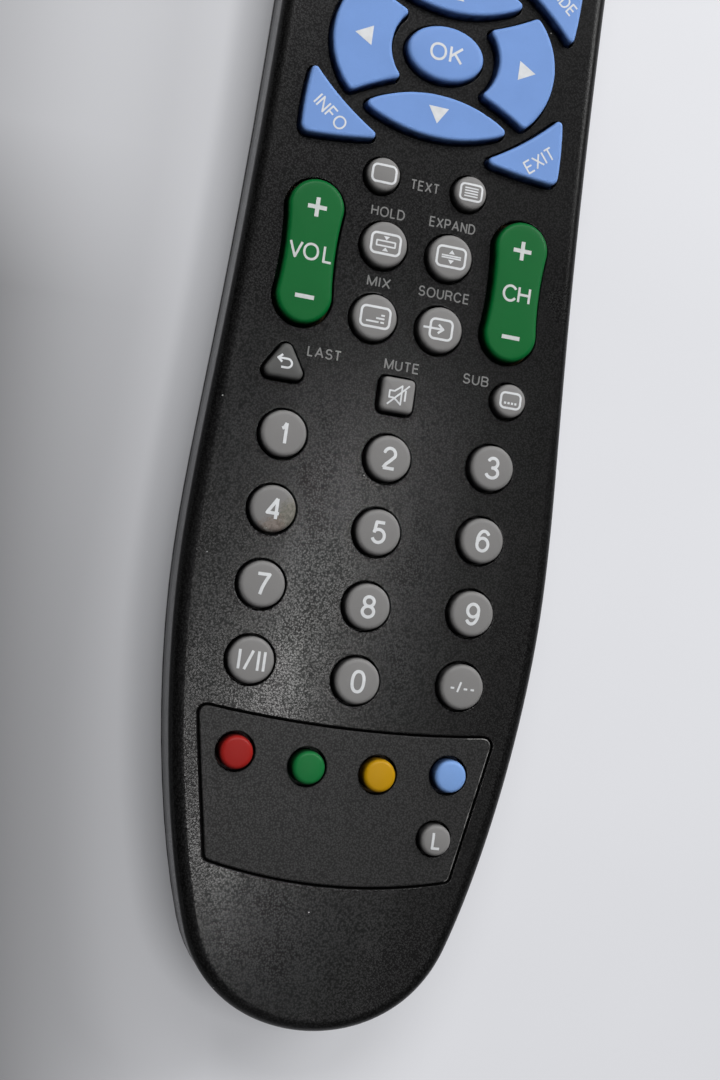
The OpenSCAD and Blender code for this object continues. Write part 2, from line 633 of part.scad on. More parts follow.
// Back half: curved flanks, battery bay, screw posts, board posts and the door's seat
module bottom_shell() {
    rim = seam_z - seam_gap;
    depth = rim - back_t;
    door_pts = moved(rectangle(door_w + 2 * door_gap, door_y1 - door_y0 + 2 * door_gap, seat_round),
                     [0, bay_y]);
    color(black) difference() {
        union() {
            difference() {
                loft([for (a = [90:-15:0])
                    [grow(outline, -0.2 - back_curve * (1 - cos(a))), rim * (1 - sin(a))]]);
                loft([for (a = [90:-15:-15])
                    [grow(outline, -wall - back_curve * (1 - cos(max(a, 0)))), rim - depth * sin(a)]]);
                prism(grow(outline, tongue_t - wall + tongue_gap), rim - tongue_h, rim + 1);
            }
            // Bay walls and roof
            block(-bay_w / 2 - bay_wall, bay_w / 2 + bay_wall, bay_y0 - bay_wall, bay_y1 + bay_wall,
                  back_t - 0.5, board_z);
            // Ledge behind the door
            block(-door_w / 2 - 2, door_w / 2 + 2, door_y0 - 6, door_y1 + 3, back_t - 0.5, ledge_z + ledge_t);
            for (s = screws) rod(s[0], s[1], post_d, back_t - 0.5, post_top);
            for (x = [-1, 1], y = [shoulder_y - 10, nav_y, bay_y1 + 20])
                rod(x * (nose_half_w - wall - 4), y, 4, back_t - 0.5, board_z);
        }
        block(-bay_w / 2, bay_w / 2, bay_y0, bay_y1, -1, bay_roof);
        prism(door_pts, -1, ledge_z);
        // Pockets for the door's tongues, which swing up behind the lip
        for (x = [-1, 1])
            block(x * tongue_x - tongue_w / 2 - door_gap, x * tongue_x + tongue_w / 2 + door_gap,
                  door_y0 - door_tongue - 2 * door_gap - door_t / 2, pivot_y + tongue_swing + door_gap,
                  pivot_z - door_gap, ledge_z + ledge_t + 1);
        // Finger hollow at the latch
        translate([0, door_y1 + door_gap + hollow_r - 4.8, hollow_deep - hollow_r]) sphere(r = hollow_r);
        for (s = screws) {
            rod(s[0], s[1], screw_head_d + 2 * screw_gap, -1, head_z);
            rod(s[0], s[1], screw_d + 2 * screw_gap, -1, post_top + 1);
        }
        contact_slots(bay_roof - 1, board_z + 1);
    }
}

// Door plate with a round pivot edge, two tongues, a latch tab, grip grooves and a rib between the cells
module battery_door() {
    l = door_y1 - door_y0;
    color(black) difference() {
        union() {
            intersection() {
                prism(moved(rectangle(door_w, l, door_round), [0, bay_y]), door_sink, door_in);
                block(-door_w, door_w, pivot_y, door_y1 + 1, door_sink - 1, door_in + 1);
            }
            translate([-door_w / 2 + 1, pivot_y, pivot_z]) rotate([0, 90, 0])
                cylinder(d = door_t, h = door_w - 2);
            for (x = [-1, 1])
                block(x * tongue_x - tongue_w / 2, x * tongue_x + tongue_w / 2,
                      door_y0 - door_tongue, pivot_y,
                      pivot_z, door_in);
            block(-rib_t / 2, rib_t / 2, bay_y0 + 4, bay_y1 - 4, door_in - 0.5, door_in + rib_h);
        }
        // Slits that free the latch tab
        for (x = [-1, 1])
            block(x * tab_half_w - tab_slit[1] / 2, x * tab_half_w + tab_slit[1] / 2,
                  door_y1 - tab_slit[0], door_y1 + 1, door_sink - 1, door_in + 1);
        // Grip grooves
        for (k = [0:grip_count - 1])
            translate([0, door_y1 - grip_from_end - k * grip[0], 0])
                block(-(grip_w - k) / 2, (grip_w - k) / 2, -grip[1] / 2, grip[1] / 2,
                      door_sink - 1, door_sink + grip[2]);
    }
}

// Infrared window with a flange behind the wall
module ir_window() {
    z0 = seam_z + window_up;
    z1 = z0 + window_h;
    color("#2a0d10") union() {
        translate([0, 0, z0 + window_gap]) linear_extrude(window_h - 2 * window_gap) intersection() {
            difference() {
                polygon(grow(outline, -window_sink));
                polygon(grow(outline, -wall - 0.5));
            }
            translate([-window_w / 2 + window_gap, nose_y - window_deep])
                square([window_w - 2 * window_gap, window_deep + 1]);
        }
        translate([0, 0, z0 - 0.5]) linear_extrude(min(window_h + 1, face_under - z0 + 0.2)) intersection() {
            difference() {
                polygon(grow(outline, -wall));
                polygon(grow(outline, -wall - flange_t));
            }
            translate([-window_w / 2 - flange_w, nose_y - window_deep])
                square([window_w + 2 * flange_w, window_deep + 1]);
        }
    }
}

// Inlay plate round the coloured keys
module inlay_panel() {
    color(panel_black) difference() {
        prism(inlay_pts, face_z - inlay_t, face_z);
        inlay_holes(face_z - inlay_t - 1, face_z + 1);
    }
}

// Silicone mat on the board, open round each key's collar
module keypad_mat() {
    z0 = board_top;
    z1 = board_top + mat_t;
    play = collar_w + mat_gap;
    color("#4c4d4f") difference() {
        translate([0, 0, z0]) linear_extrude(mat_t) intersection() {
            polygon(grow(outline, -wall - board_gap));
            translate([-belly_half_w, tail_y]) square([2 * belly_half_w, mat_nose - tail_y]);
        }
        for (k = concat(face_round, inlay_keys)) rod(k[0][0], k[0][1], k[1] + 2 * play, z0 - 1, z1 + 1);
        for (p = [last_pts, mute_pts, moved(rocker_raw, volume_at), moved(rocker_raw, channel_at)])
            prism(grow(p, play), z0 - 1, z1 + 1);
        // One opening for the navigation ring, joined by those of its keys
        prism(in_nav([for (i = [0:47])
            [(nav_reach + play) * cos(i * 7.5), (nav_height + play) * sin(i * 7.5)]]), z0 - 1, z1 + 1);
        for (p = nav_shapes) prism(grow(p, play * row_share), z0 - 1, z1 + 1);
        for (s = screws) rod(s[0], s[1], post_d + 0.6, z0 - 1, z1 + 1);
    }
}

module contact_slots(z0, z1) {
    for (p = contact_tails)
        block(p[0] - tail_w / 2 - slot_gap, p[0] + tail_w / 2 + slot_gap,
              p[1] - plate_t / 2 - slot_gap, p[1] + plate_t / 2 + slot_gap, z0, z1);
}

contact_tails = [[cell_x, bay_y1 - plate_t / 2], [-cell_x, bay_y1 - plate_t / 2]];

// Board under the mat, with holes for the posts and the contact tails
module circuit_board() {
    color("#b08a4a") difference() {
        translate([0, 0, board_z]) linear_extrude(board_t) intersection() {
            polygon(grow(outline, -wall - board_gap));
            translate([-belly_half_w, tail_y]) square([2 * belly_half_w, board_nose - tail_y]);
        }
        for (s = screws) rod(s[0], s[1], post_d, board_z - 1, board_top + 1);
        contact_slots(board_z - 1, board_top + 1);
    }
}

// Two infrared emitters in front of the board, legs on its upper side
module ir_emitters() {
    axis_z = board_top - emitter_drop;
    r = emitter_d / 2;
    flange_r = r + emitter_rim[0];
    color("#3a2d52") for (x = [-emitter_x, emitter_x]) union() {
        translate([x, board_nose + emitter_gap, axis_z]) rotate([-90, 0, 0]) rotate_extrude()
            polygon(concat([[0, 0], [flange_r, 0], [flange_r, emitter_rim[1]], [r, emitter_rim[1]]],
                [for (a = [0:15:90]) [r * cos(a), emitter_l + r * sin(a)]]));
        for (s = [-emitter_leg[1] / 2, emitter_leg[1] / 2])
            block(x + s - emitter_leg[0] / 2, x + s + emitter_leg[0] / 2,
                  board_nose - emitter_leg[2], board_nose + emitter_gap + emitter_rim[1] / 2,
                  board_top, board_top + emitter_leg[0]);
    }
}

// Indicator lamp standing on the board and reaching through the face
module indicator_lamp() {
    r = lamp_d / 2;
    tall = face_z - board_top + 0.4;
    color("#8c1d1a") translate([lamp_at[0], lamp_at[1], board_top]) rotate_extrude()
        polygon(concat([[0, 0], [r + 0.4, 0], [r + 0.4, 1], [r, 1]],
            [for (a = [0:15:90]) [r * cos(a), tall - r + r * sin(a)]]));
}

// Controller on the underside of the board
module controller_chip() {
    y0 = nav_y - chip_from_nav;
    half = chip[0] / 2;
    foot = half + leg[1] / 2;
    z1 = board_z - chip_gap;
    mid = z1 - chip[2] / 2;
    color("#1b1b1d") union() {
        block(-half, half, y0 - chip[1] / 2, y0 + chip[1] / 2, z1 - chip[2], z1);
        for (k = [-6.5:6.5], s = [0, 180]) translate([0, y0 + k * leg_pitch, 0]) rotate([0, 0, s]) {
            block(half - 0.25, foot, -leg[0] / 2, leg[0] / 2, mid - leg[2] / 2, mid + leg[2] / 2);
            block(foot - leg[2], foot, -leg[0] / 2, leg[0] / 2, mid - leg[2] / 2, board_z);
            block(foot - leg[2], half + leg[1], -leg[0] / 2, leg[0] / 2, board_z - leg[2], board_z);
        }
    }
}

// Ceramic resonator on the underside of the board
module resonator() {
    stand = 1;
    color("#b5651d") translate([resonator_at[0], nav_y + resonator_at[1], 0]) union() {
        prism(rectangle(resonator_box[0], resonator_box[1], 1.2),
              board_z - stand - resonator_box[2], board_z - stand);
        for (k = [-1:1]) rod(0, k * resonator_pitch, wire_d, board_z - stand - 0.5, board_z);
    }
}

// Electrolytic capacitor on the underside of the board, with a crimped groove
module capacitor() {
    r = can[0] / 2;
    g = can_groove;
    color("#27324f") translate([-can_at[0], nav_y + can_at[1], board_z]) mirror([0, 0, 1]) rotate_extrude()
        polygon([[0, 0], [r, 0], [r, 3 * g], [r - g, 4 * g], [r - g, 5 * g], [r, 6 * g],
                 [r, can[1] - g], [r - g, can[1]], [0, can[1]]]);
}

// One cell along +Y with its nub at the far end, its flat end at the origin
module cell() {
    r = cell_d / 2;
    rotate([-90, 0, 0]) rotate_extrude()
        polygon([[0, 0], [r - 0.7, 0], [r, 0.5], [r, cell_l - 1.4], [r - 0.5, cell_l - 1],
                 [1.9, cell_l - 1], [1.9, cell_l], [0, cell_l]]);
}

module battery_right() {
    color("#c9a227") translate([cell_x, bay_y1 - plate_t - nub_press - cell_l, cell_z]) cell();
}

module battery_left() {
    color("#c9a227") translate([-cell_x, bay_y0 + plate_t + nub_press + cell_l, cell_z])
        mirror([0, 1, 0]) cell();
}

// Conical contact spring along +Y from the origin: one unbroken wire with 8 rings a turn
spring_turns = 3.5;
function spring_path(l) = let (n = spring_turns * 8) [
    for (i = [0:n]) let (t = i / n, r = spring_r[0] + (spring_r[1] - spring_r[0]) * t)
        [r * cos(i * 45), spring_wire * 0.3 + (l - spring_wire * 0.8) * t, r * sin(i * 45)]];

module spring(l) {
    path = spring_path(l);
    n = len(path);
    points = [for (i = [0:n - 1])
        let (d = unit(path[min(i + 1, n - 1)] - path[max(i - 1, 0)]),
             u = unit(cross(d, [0, 1, 0])), v = cross(u, d))
        for (k = [0:5]) path[i] + spring_wire / 2 * (u * cos(k * 60) + v * sin(k * 60))];
    sides = [for (i = [0:n - 2]) for (k = [0:5]) let (j = (k + 1) % 6)
        each [[i * 6 + k, i * 6 + j, (i + 1) * 6 + j], [i * 6 + k, (i + 1) * 6 + j, (i + 1) * 6 + k]]];
    polyhedron(points, concat([[5, 4, 3, 2, 1, 0]], sides, [[for (k = [0:5]) (n - 1) * 6 + k]]));
}

// Least space between neighbouring turns of the wire
spring_self_gap = min([for (i = [0:len(spring_path(spring_l)) - 9])
    norm(spring_path(spring_l)[i + 8] - spring_path(spring_l)[i])]) - spring_wire;
echo(spring_self_gap = spring_self_gap);

plate_h = cell_d - 2;

// Plate across the bay's end with the tail that reaches into the board
module contact_base(x) {
    block(x - plate_w / 2, x + plate_w / 2, bay_y1 - plate_t, bay_y1,
          cell_z - plate_h / 2, cell_z + plate_h / 2);
    block(x - tail_w / 2, x + tail_w / 2, bay_y1 - plate_t, bay_y1, cell_z, board_top);
}

module dimple() {
    rotate([-90, 0, 0]) cylinder(d1 = nub_d[0], d2 = nub_d[1], h = nub_press);
}

// Spring contact of the left cell's flat end
module contact_spring() {
    color("#c3c5c8") union() {
        contact_base(-cell_x);
        translate([-cell_x, bay_y1 - plate_t, cell_z]) mirror([0, 1, 0]) spring(spring_l);
    }
}

// Flat contact of the right cell's nub
module contact_plate() {
    color("#c3c5c8") union() {
        contact_base(cell_x);
        translate([cell_x, bay_y1 - plate_t, cell_z]) mirror([0, 1, 0]) dimple();
    }
}

// Bridge that joins the two cells at the other end
module contact_bridge() {
    color("#c3c5c8") union() {
        block(-cell_x - plate_w / 2, cell_x + plate_w / 2, bay_y0, bay_y0 + plate_t,
              cell_z - plate_h / 2, cell_z + plate_h / 2);
        translate([-cell_x, bay_y0 + plate_t, cell_z]) dimple();
        translate([cell_x, bay_y0 + plate_t, cell_z]) spring(spring_l);
    }
}

// Four screws from the back into the front half
module case_screws() {
    color("#9a9ca0") for (s = screws) translate([s[0], s[1], 0]) difference() {
        rotate_extrude() polygon([[0, head_z - screw_head_h], [screw_head_d / 2 - 0.4, head_z - screw_head_h],
            [screw_head_d / 2, head_z - screw_head_h + 0.4], [screw_head_d / 2, head_z],
            [screw_d / 2, head_z],
            [screw_d / 2, face_under - 1.8], [0, face_under - 1]]);
        for (a = [0, 90]) rotate([0, 0, a])
            block(-cross_slot[0] / 2, cross_slot[0] / 2, -cross_slot[1] / 2, cross_slot[1] / 2,
                  head_z - screw_head_h - 1, head_z - screw_head_h + 0.8);
    }
}

// Key turned from a profile: collar, drafted side, rounded top edge and a slight crown
module round_key(k) {
    r = k[1] / 2;
    top_r = r - key_draft - key_edge;
    edge_z = key_top - key_crown - key_edge;
    translate([k[0][0], k[0][1], 0]) rotate_extrude() polygon(concat(
        [[0, key_base], [r + collar_w, key_base], [r + collar_w, collar_top], [r, collar_top]],
        [for (a = [0:18:90]) [top_r + key_edge * cos(a), edge_z + key_edge * sin(a)]],
        [for (i = [3:-1:0]) [top_r * i / 4, key_top - key_crown * i * i / 16]]));
}

// Key lofted along its outline with the same collar, draft and edge
module shaped_key(pts) {
    loft(concat([[grow(pts, collar_w), key_base], [grow(pts, collar_w), collar_top], [pts, collar_top]],
        [for (a = [0:30:90]) [grow(pts, -key_draft - key_edge * (1 - cos(a))),
                              key_top - key_edge + key_edge * sin(a)]]));
}

// Two-way key: ears at its waist carry it, so that either end can go down
module rocker(at) {
    ear_h = collar_h - 0.4;
    translate([at[0], at[1], 0]) union() {
        loft(concat([[rocker_raw, rocker_base]],
            [for (a = [0:30:90]) [grow(rocker_raw, -key_draft - key_edge * (1 - cos(a))),
                                  key_top - key_edge + key_edge * sin(a)]]));
        for (s = [-1, 1]) translate([s * (rocker_w / 2 - rocker_waist), 0, key_base + 0.1 + ear_h / 2])
            cube([2 * collar_w, rocker_ear, ear_h], center = true);
    }
}

module key_power() color("#85392f") round_key(power);
module key_device_1() color(grey) round_key(devices[0]);
module key_device_2() color(grey) round_key(devices[1]);
module key_device_3() color(grey) round_key(devices[2]);
module key_device_4() color(grey) round_key(devices[3]);
module key_menu() color(blue) shaped_key(menu_pts);
module key_guide() color(blue) shaped_key(guide_pts);
module key_info() color(blue) shaped_key(info_pts);
module key_exit() color(blue) shaped_key(exit_pts);
module key_ok() color(blue) shaped_key(ok_pts);
module key_up() color(blue) shaped_key(up_pts);
module key_down() color(blue) shaped_key(down_pts);
module key_left() color(blue) shaped_key(left_pts);
module key_right() color(blue) shaped_key(right_pts);
module key_page_off() color(grey) round_key(page_off);
module key_page_on() color(grey) round_key(page_on);
module key_hold() color(grey) round_key(hold);
module key_expand() color(grey) round_key(expand);
module key_mix() color(grey) round_key(mix);
module key_source() color(grey) round_key(source);
module rocker_volume() color(green) rocker(volume_at);
module rocker_channel() color(green) rocker(channel_at);
module key_last() color(grey) shaped_key(last_pts);
module key_mute() color(grey) shaped_key(mute_pts);
module key_subtitle() color(grey) round_key(subtitle);
module digit_key(i) color(grey) round_key(digits[i]);
module key_red() color("#852a23") round_key(red);
module key_green() color("#2a633d") round_key(lime);
module key_yellow() color("#a37e19") round_key(yellow);
module key_cyan() color("#7a99c3") round_key(cyan);
module key_learn() color(grey) round_key(learn);

top_shell();
bottom_shell();
battery_door();
ir_window();
inlay_panel();
keypad_mat();
circuit_board();
ir_emitters();
indicator_lamp();
controller_chip();
resonator();
capacitor();
battery_right();
battery_left();
contact_spring();
contact_plate();
contact_bridge();
case_screws();
key_power();
key_device_1();
key_device_2();
key_device_3();
key_device_4();
key_menu();
key_guide();
key_info();
key_exit();
key_ok();
key_up();
key_down();
key_left();
key_right();
key_page_off();
key_page_on();
key_hold();
key_expand();
key_mix();
key_source();
rocker_volume();
rocker_channel();
key_last();
key_mute();
key_subtitle();
digit_key(0);  // key_1
digit_key(1);  // key_2
digit_key(2);  // key_3
digit_key(3);  // key_4
digit_key(4);  // key_5
digit_key(5);  // key_6
digit_key(6);  // key_7
digit_key(7);  // key_8
digit_key(8);  // key_9
digit_key(9);  // key_dual
digit_key(10);  // key_0
digit_key(11);  // key_two_digit
key_red();
key_green();
key_yellow();
key_cyan();
key_learn();
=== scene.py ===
"""Looks of a hand-held universal remote control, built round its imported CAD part.

Lengths are in millimetres until a mesh is made, then in metres.
"""
import math

import bmesh
import bpy
import numpy as np
from mathutils import Matrix, Vector
from mathutils.geometry import delaunay_2d_cdt


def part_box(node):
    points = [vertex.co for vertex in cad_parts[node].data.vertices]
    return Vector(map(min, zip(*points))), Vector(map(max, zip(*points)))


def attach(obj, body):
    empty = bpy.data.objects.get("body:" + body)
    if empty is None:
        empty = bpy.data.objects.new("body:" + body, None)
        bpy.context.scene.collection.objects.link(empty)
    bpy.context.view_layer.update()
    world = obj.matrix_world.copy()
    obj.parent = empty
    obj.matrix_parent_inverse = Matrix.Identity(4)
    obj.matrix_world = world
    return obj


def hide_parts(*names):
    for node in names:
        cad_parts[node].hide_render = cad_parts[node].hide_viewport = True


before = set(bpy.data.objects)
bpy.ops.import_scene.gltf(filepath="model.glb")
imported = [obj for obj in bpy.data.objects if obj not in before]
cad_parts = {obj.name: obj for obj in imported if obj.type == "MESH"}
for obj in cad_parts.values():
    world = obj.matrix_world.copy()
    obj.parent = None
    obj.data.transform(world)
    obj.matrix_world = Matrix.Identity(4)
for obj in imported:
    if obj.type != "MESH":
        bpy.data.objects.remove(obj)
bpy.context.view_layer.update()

MM = 0.001
scene = bpy.context.scene


def flat(x, y):
    return Vector((x, y))


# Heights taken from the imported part
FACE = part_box("inlay_panel")[1].z / MM
KEY_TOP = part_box("key_ok")[1].z / MM
KEY_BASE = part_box("key_ok")[0].z / MM
ROCKER_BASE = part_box("rocker_volume")[0].z / MM
COLLAR_TOP = KEY_BASE + 1.3
FACE_UNDER = FACE - 2.0
SEAM = 12.0
PRESS_ROOM = 0.03

# Sizes of the moulded pieces
HALF_LENGTH = 111.0
BELLY_HALF = 30.9
NOSE_HALF = 27.3
WALL = 2.0
SEAM_LEDGE = 0.25
SIDE_DRAFT = 0.05
EDGE_R = 2.2
TONGUE_LOW = SEAM - 1.3
TONGUE_OUT = 0.7 - WALL
KEY_GAP = 0.3
ROCKER_GAP = 0.4
RIM_R = 0.1
FLAT_W = 0.12
COLLAR_W = 0.8
KEY_DRAFT = 0.1
KEY_EDGE = 0.75
KEY_CROWN = 0.12
FLAT_KEY_EDGE = 0.55
INLAY_T = 0.8
INLAY_GAP = 0.38
COLOUR_KEY_SLACK = 0.14
WINDOW_HALF = 16.0
WINDOW_Z = (12.8, 17.8)
LAMP_R = 1.5
POSTS = ((17, 96), (-17, 96), (9, -99), (-9, -99))
POST_R = 2.7
POST_BORE_R = 1.1
POST_BELOW_BOARD = 1.4
POST_INTO_FACE = 0.3
INLAY_EDGE_R = 0.16
# The inlay's edge has its painted highlight right of this x.
INLAY_HIGHLIGHT_FROM_X = 19.5
EAR_X = 4.2
EAR_HALF = (0.8, 4.5)
EAR_Z = (KEY_BASE + 0.1, KEY_BASE + 1.0)
RUBBED_FROM = 0.6
SHARP_ANGLE = math.radians(35)
RIM_TURNS = [math.radians(a) for a in (0, 30, 60, 90)]


# Places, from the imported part's own boxes

def middle_of(node):
    """Middle of a node's box, seen from above."""
    low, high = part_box(node)
    return flat((low.x + high.x) / 2 / MM, (low.y + high.y) / 2 / MM)


def diameter_of(node):
    """Diameter of a round key without its collar."""
    low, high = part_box(node)
    return (high.x - low.x) / MM - 2 * COLLAR_W


NAV = middle_of("key_ok")


# Plane curves

def bezier(a, b, c, d, steps):
    """Points of a cubic curve, its end left out."""
    out = []
    for i in range(steps):
        t = i / steps
        u = 1 - t
        out.append(u ** 3 * a + 3 * t * u * u * b + 3 * t * t * u * c + t ** 3 * d)
    return out


def grow(loop, distance):
    """A counter-clockwise loop moved outward, each edge parallel to itself."""
    out = []
    for i, p in enumerate(loop):
        a = (p - loop[i - 1]).normalized()
        b = (loop[(i + 1) % len(loop)] - p).normalized()
        na, nb = flat(a.y, -a.x), flat(b.y, -b.x)
        out.append(p + distance * (na + nb) / (1 + na.dot(nb)))
    return out


def circle(middle, radius, count=72):
    """Counter-clockwise ring of points."""
    return [middle + radius * flat(math.cos(a), math.sin(a))
            for a in (2 * math.pi * i / count for i in range(count))]


def arc_between(p, q, sag, steps):
    """Inner points of an arc from p to q that bulges to the left by sag."""
    half = (q - p).length / 2
    along = (q - p).normalized()
    left = flat(-along.y, along.x)
    radius = (half * half + sag * sag) / (2 * sag)
    spread = math.asin(half / radius)
    centre = (p + q) / 2 + left * (sag - radius)
    turns = [spread * (2 * i / steps - 1) for i in range(1, steps)]
    return [centre + radius * (left * math.cos(f) + along * math.sin(f)) for f in turns]


def round_corner(a, p, b, radius, steps):
    """Points of the arc that rounds the corner p between a and b."""
    u, v = (a - p).normalized(), (b - p).normalized()
    half = math.acos(max(-1, min(1, u.dot(v)))) / 2
    start = p + u * radius / math.tan(half)
    centre = p + (u + v).normalized() * radius / math.sin(half)
    turn = math.copysign(math.pi - 2 * half, (p - a).cross(b - p))
    arm = start - centre
    return [centre + Matrix.Rotation(turn * i / steps, 2) @ arm for i in range(steps + 1)]


def shaped(corners, steps=4):
    """Corners (x, y, radius, sag of the next edge, its steps) as one rounded loop."""
    points = []
    for i, (x, y, radius, sag, parts) in enumerate(corners):
        points.append((flat(x, y), radius))
        if sag:
            nx, ny = corners[(i + 1) % len(corners)][:2]
            points += [(p, 0) for p in arc_between(flat(x, y), flat(nx, ny), sag, parts)]
    out = []
    for i, (p, radius) in enumerate(points):
        if radius:
            after = points[(i + 1) % len(points)][0]
            out += round_corner(points[i - 1][0], p, after, radius, steps)
        else:
            out.append(p)
    return out


def soften(loop, passes=2):
    """Cuts the corners of a loop, so that a coarse outline reads as a smooth one."""
    for _ in range(passes):
        cut = []
        for i, p in enumerate(loop):
            q = loop[(i + 1) % len(loop)]
            cut += [p.lerp(q, 0.25), p.lerp(q, 0.75)]
        loop = cut
    return loop


def mirror_x(loop):
    return [flat(-p.x, p.y) for p in reversed(loop)]


def mirror_y(loop):
    return [flat(p.x, -p.y) for p in reversed(loop)]


def moved(loop, by):
    return [p + by for p in loop]


# Outline of the housing

def housing_outline():
    """Seam outline, counter-clockwise from the tail, with a point at each end of the window."""
    lean = math.radians(71)
    tail_dir = flat(-math.cos(lean), -math.sin(lean))
    turn = flat(21.9, -96)
    belly, shoulder = flat(BELLY_HALF, -37), flat(NOSE_HALF, 87)
    tail, tip = flat(0, -HALF_LENGTH), flat(0, HALF_LENGTH)
    half = bezier(tail, flat(8.25, -HALF_LENGTH), turn + 11.6 * tail_dir, turn, 40)
    half += bezier(turn, turn - 15.4 * tail_dir, flat(BELLY_HALF, -57.4), belly, 24)
    half += bezier(belly, flat(BELLY_HALF, -13), flat(NOSE_HALF, 7.5), shoulder, 40)
    nose = bezier(shoulder, flat(NOSE_HALF, 100.92), flat(0.64 * NOSE_HALF, HALF_LENGTH), tip, 40)
    for i in range(1, len(nose)):
        p, q = nose[i - 1], nose[i]
        if q.x <= WINDOW_HALF < p.x:
            nose.insert(i, p.lerp(q, (p.x - WINDOW_HALF) / (p.x - q.x)))
            break
    half += nose + [tip]
    return half + [flat(-p.x, p.y) for p in reversed(half[1:-1])]


OUTLINE = housing_outline()

# Outlines of the shaped keys, about the middle of the navigation keys
RIGHT_KEY = shaped([(6.5, -5.5, 0.8, 0.25, 4), (14.9, -9.6, 1, -4.2, 8),
                    (14.9, 9.6, 1, 0.25, 4), (6.5, 5.5, 0.8, 2.6, 6)])
DOWN_KEY = shaped([(-12.9, -10.7, 0.9, -3.4, 8), (12.9, -10.7, 0.9, -4, 8)])
INFO_KEY = shaped([(-22, -17.6, 1.4, -0.3, 5), (-8, -16, 0.8, 0.8, 6), (-21.4, -5.6, 0.8, -0.3, 4)])
OK_KEY = [flat(6.6 * math.cos(a), 4.6 * math.sin(a)) for a in (math.pi * i / 48 for i in range(96))]
LAST_KEY = shaped([(-4.2, -2.6, 1.2, 0, 0), (4.2, -2.6, 1.2, 0, 0), (0, 4.3, 1.2, 0, 0)], 6)
MUTE_KEY = shaped([(2.9, -2.9, 1, 0, 0), (2.9, 2.9, 1, 0, 0), (-2.9, 2.9, 1, 0, 0), (-2.9, -2.9, 1, 0, 0)])


def rocker_outline(length=23.4, width=9.3, waist=0.45):
    """Long key with round ends and a slight waist."""
    r = width / 2
    end = flat(0, length / 2 - r)
    top = [end + r * flat(math.cos(a), math.sin(a)) for a in (math.pi * i / 18 for i in range(19))]
    left = arc_between(flat(-r, end.y), flat(-r, -end.y), waist, 10)
    half = top + left
    return half + [-p for p in half]


NAV_OUTLINES = {
    "key_ok": OK_KEY,
    "key_right": soften(RIGHT_KEY),
    "key_left": soften(mirror_x(RIGHT_KEY)),
    "key_down": soften(DOWN_KEY),
    "key_up": soften(mirror_y(DOWN_KEY)),
    "key_info": soften(INFO_KEY),
    "key_exit": soften(mirror_x(INFO_KEY)),
    "key_menu": soften(mirror_y(INFO_KEY)),
    "key_guide": soften(mirror_x(mirror_y(INFO_KEY))),
}
DIGITS = ["key_1", "key_2", "key_3", "key_4", "key_5", "key_6", "key_7", "key_8", "key_9",
          "key_dual", "key_0", "key_two_digit"]
GREY_ROUND = DIGITS + ["key_page_off", "key_page_on", "key_hold", "key_expand", "key_mix", "key_source",
                       "key_subtitle", "key_device_1", "key_device_2", "key_device_3", "key_device_4"]
INLAY_ROUND = ["key_red", "key_green", "key_yellow", "key_cyan", "key_learn"]
ROCKERS = ["rocker_volume", "rocker_channel"]
FLAT_KEYS = [name for name in NAV_OUTLINES if name != "key_ok"]


def key_outlines():
    """Top outline of every key, in its place."""
    loops = {n: moved(loop, NAV) for n, loop in NAV_OUTLINES.items()}
    for n in GREY_ROUND + INLAY_ROUND + ["key_power"]:
        loops[n] = circle(middle_of(n), diameter_of(n) / 2)
    last_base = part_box("key_last")[0].y / MM + COLLAR_W + 2.6
    loops["key_last"] = soften(moved(LAST_KEY, flat(middle_of("key_last").x, last_base)))
    loops["key_mute"] = soften(moved(MUTE_KEY, middle_of("key_mute")))
    for n in ROCKERS:
        loops[n] = moved(soften(rocker_outline(), 1), middle_of(n))
    return loops


KEY_LOOPS = key_outlines()
INLAY_LOOP = soften(shaped([(-20.1, -84.6, 1, -2.4, 20), (20.1, -84.6, 1, 0, 0),
                            (24.6, -60.7, 1.3, 1.5, 20), (-24.6, -60.7, 1.3, 0, 0)]), 1)


# Building of closed meshes from rings of points

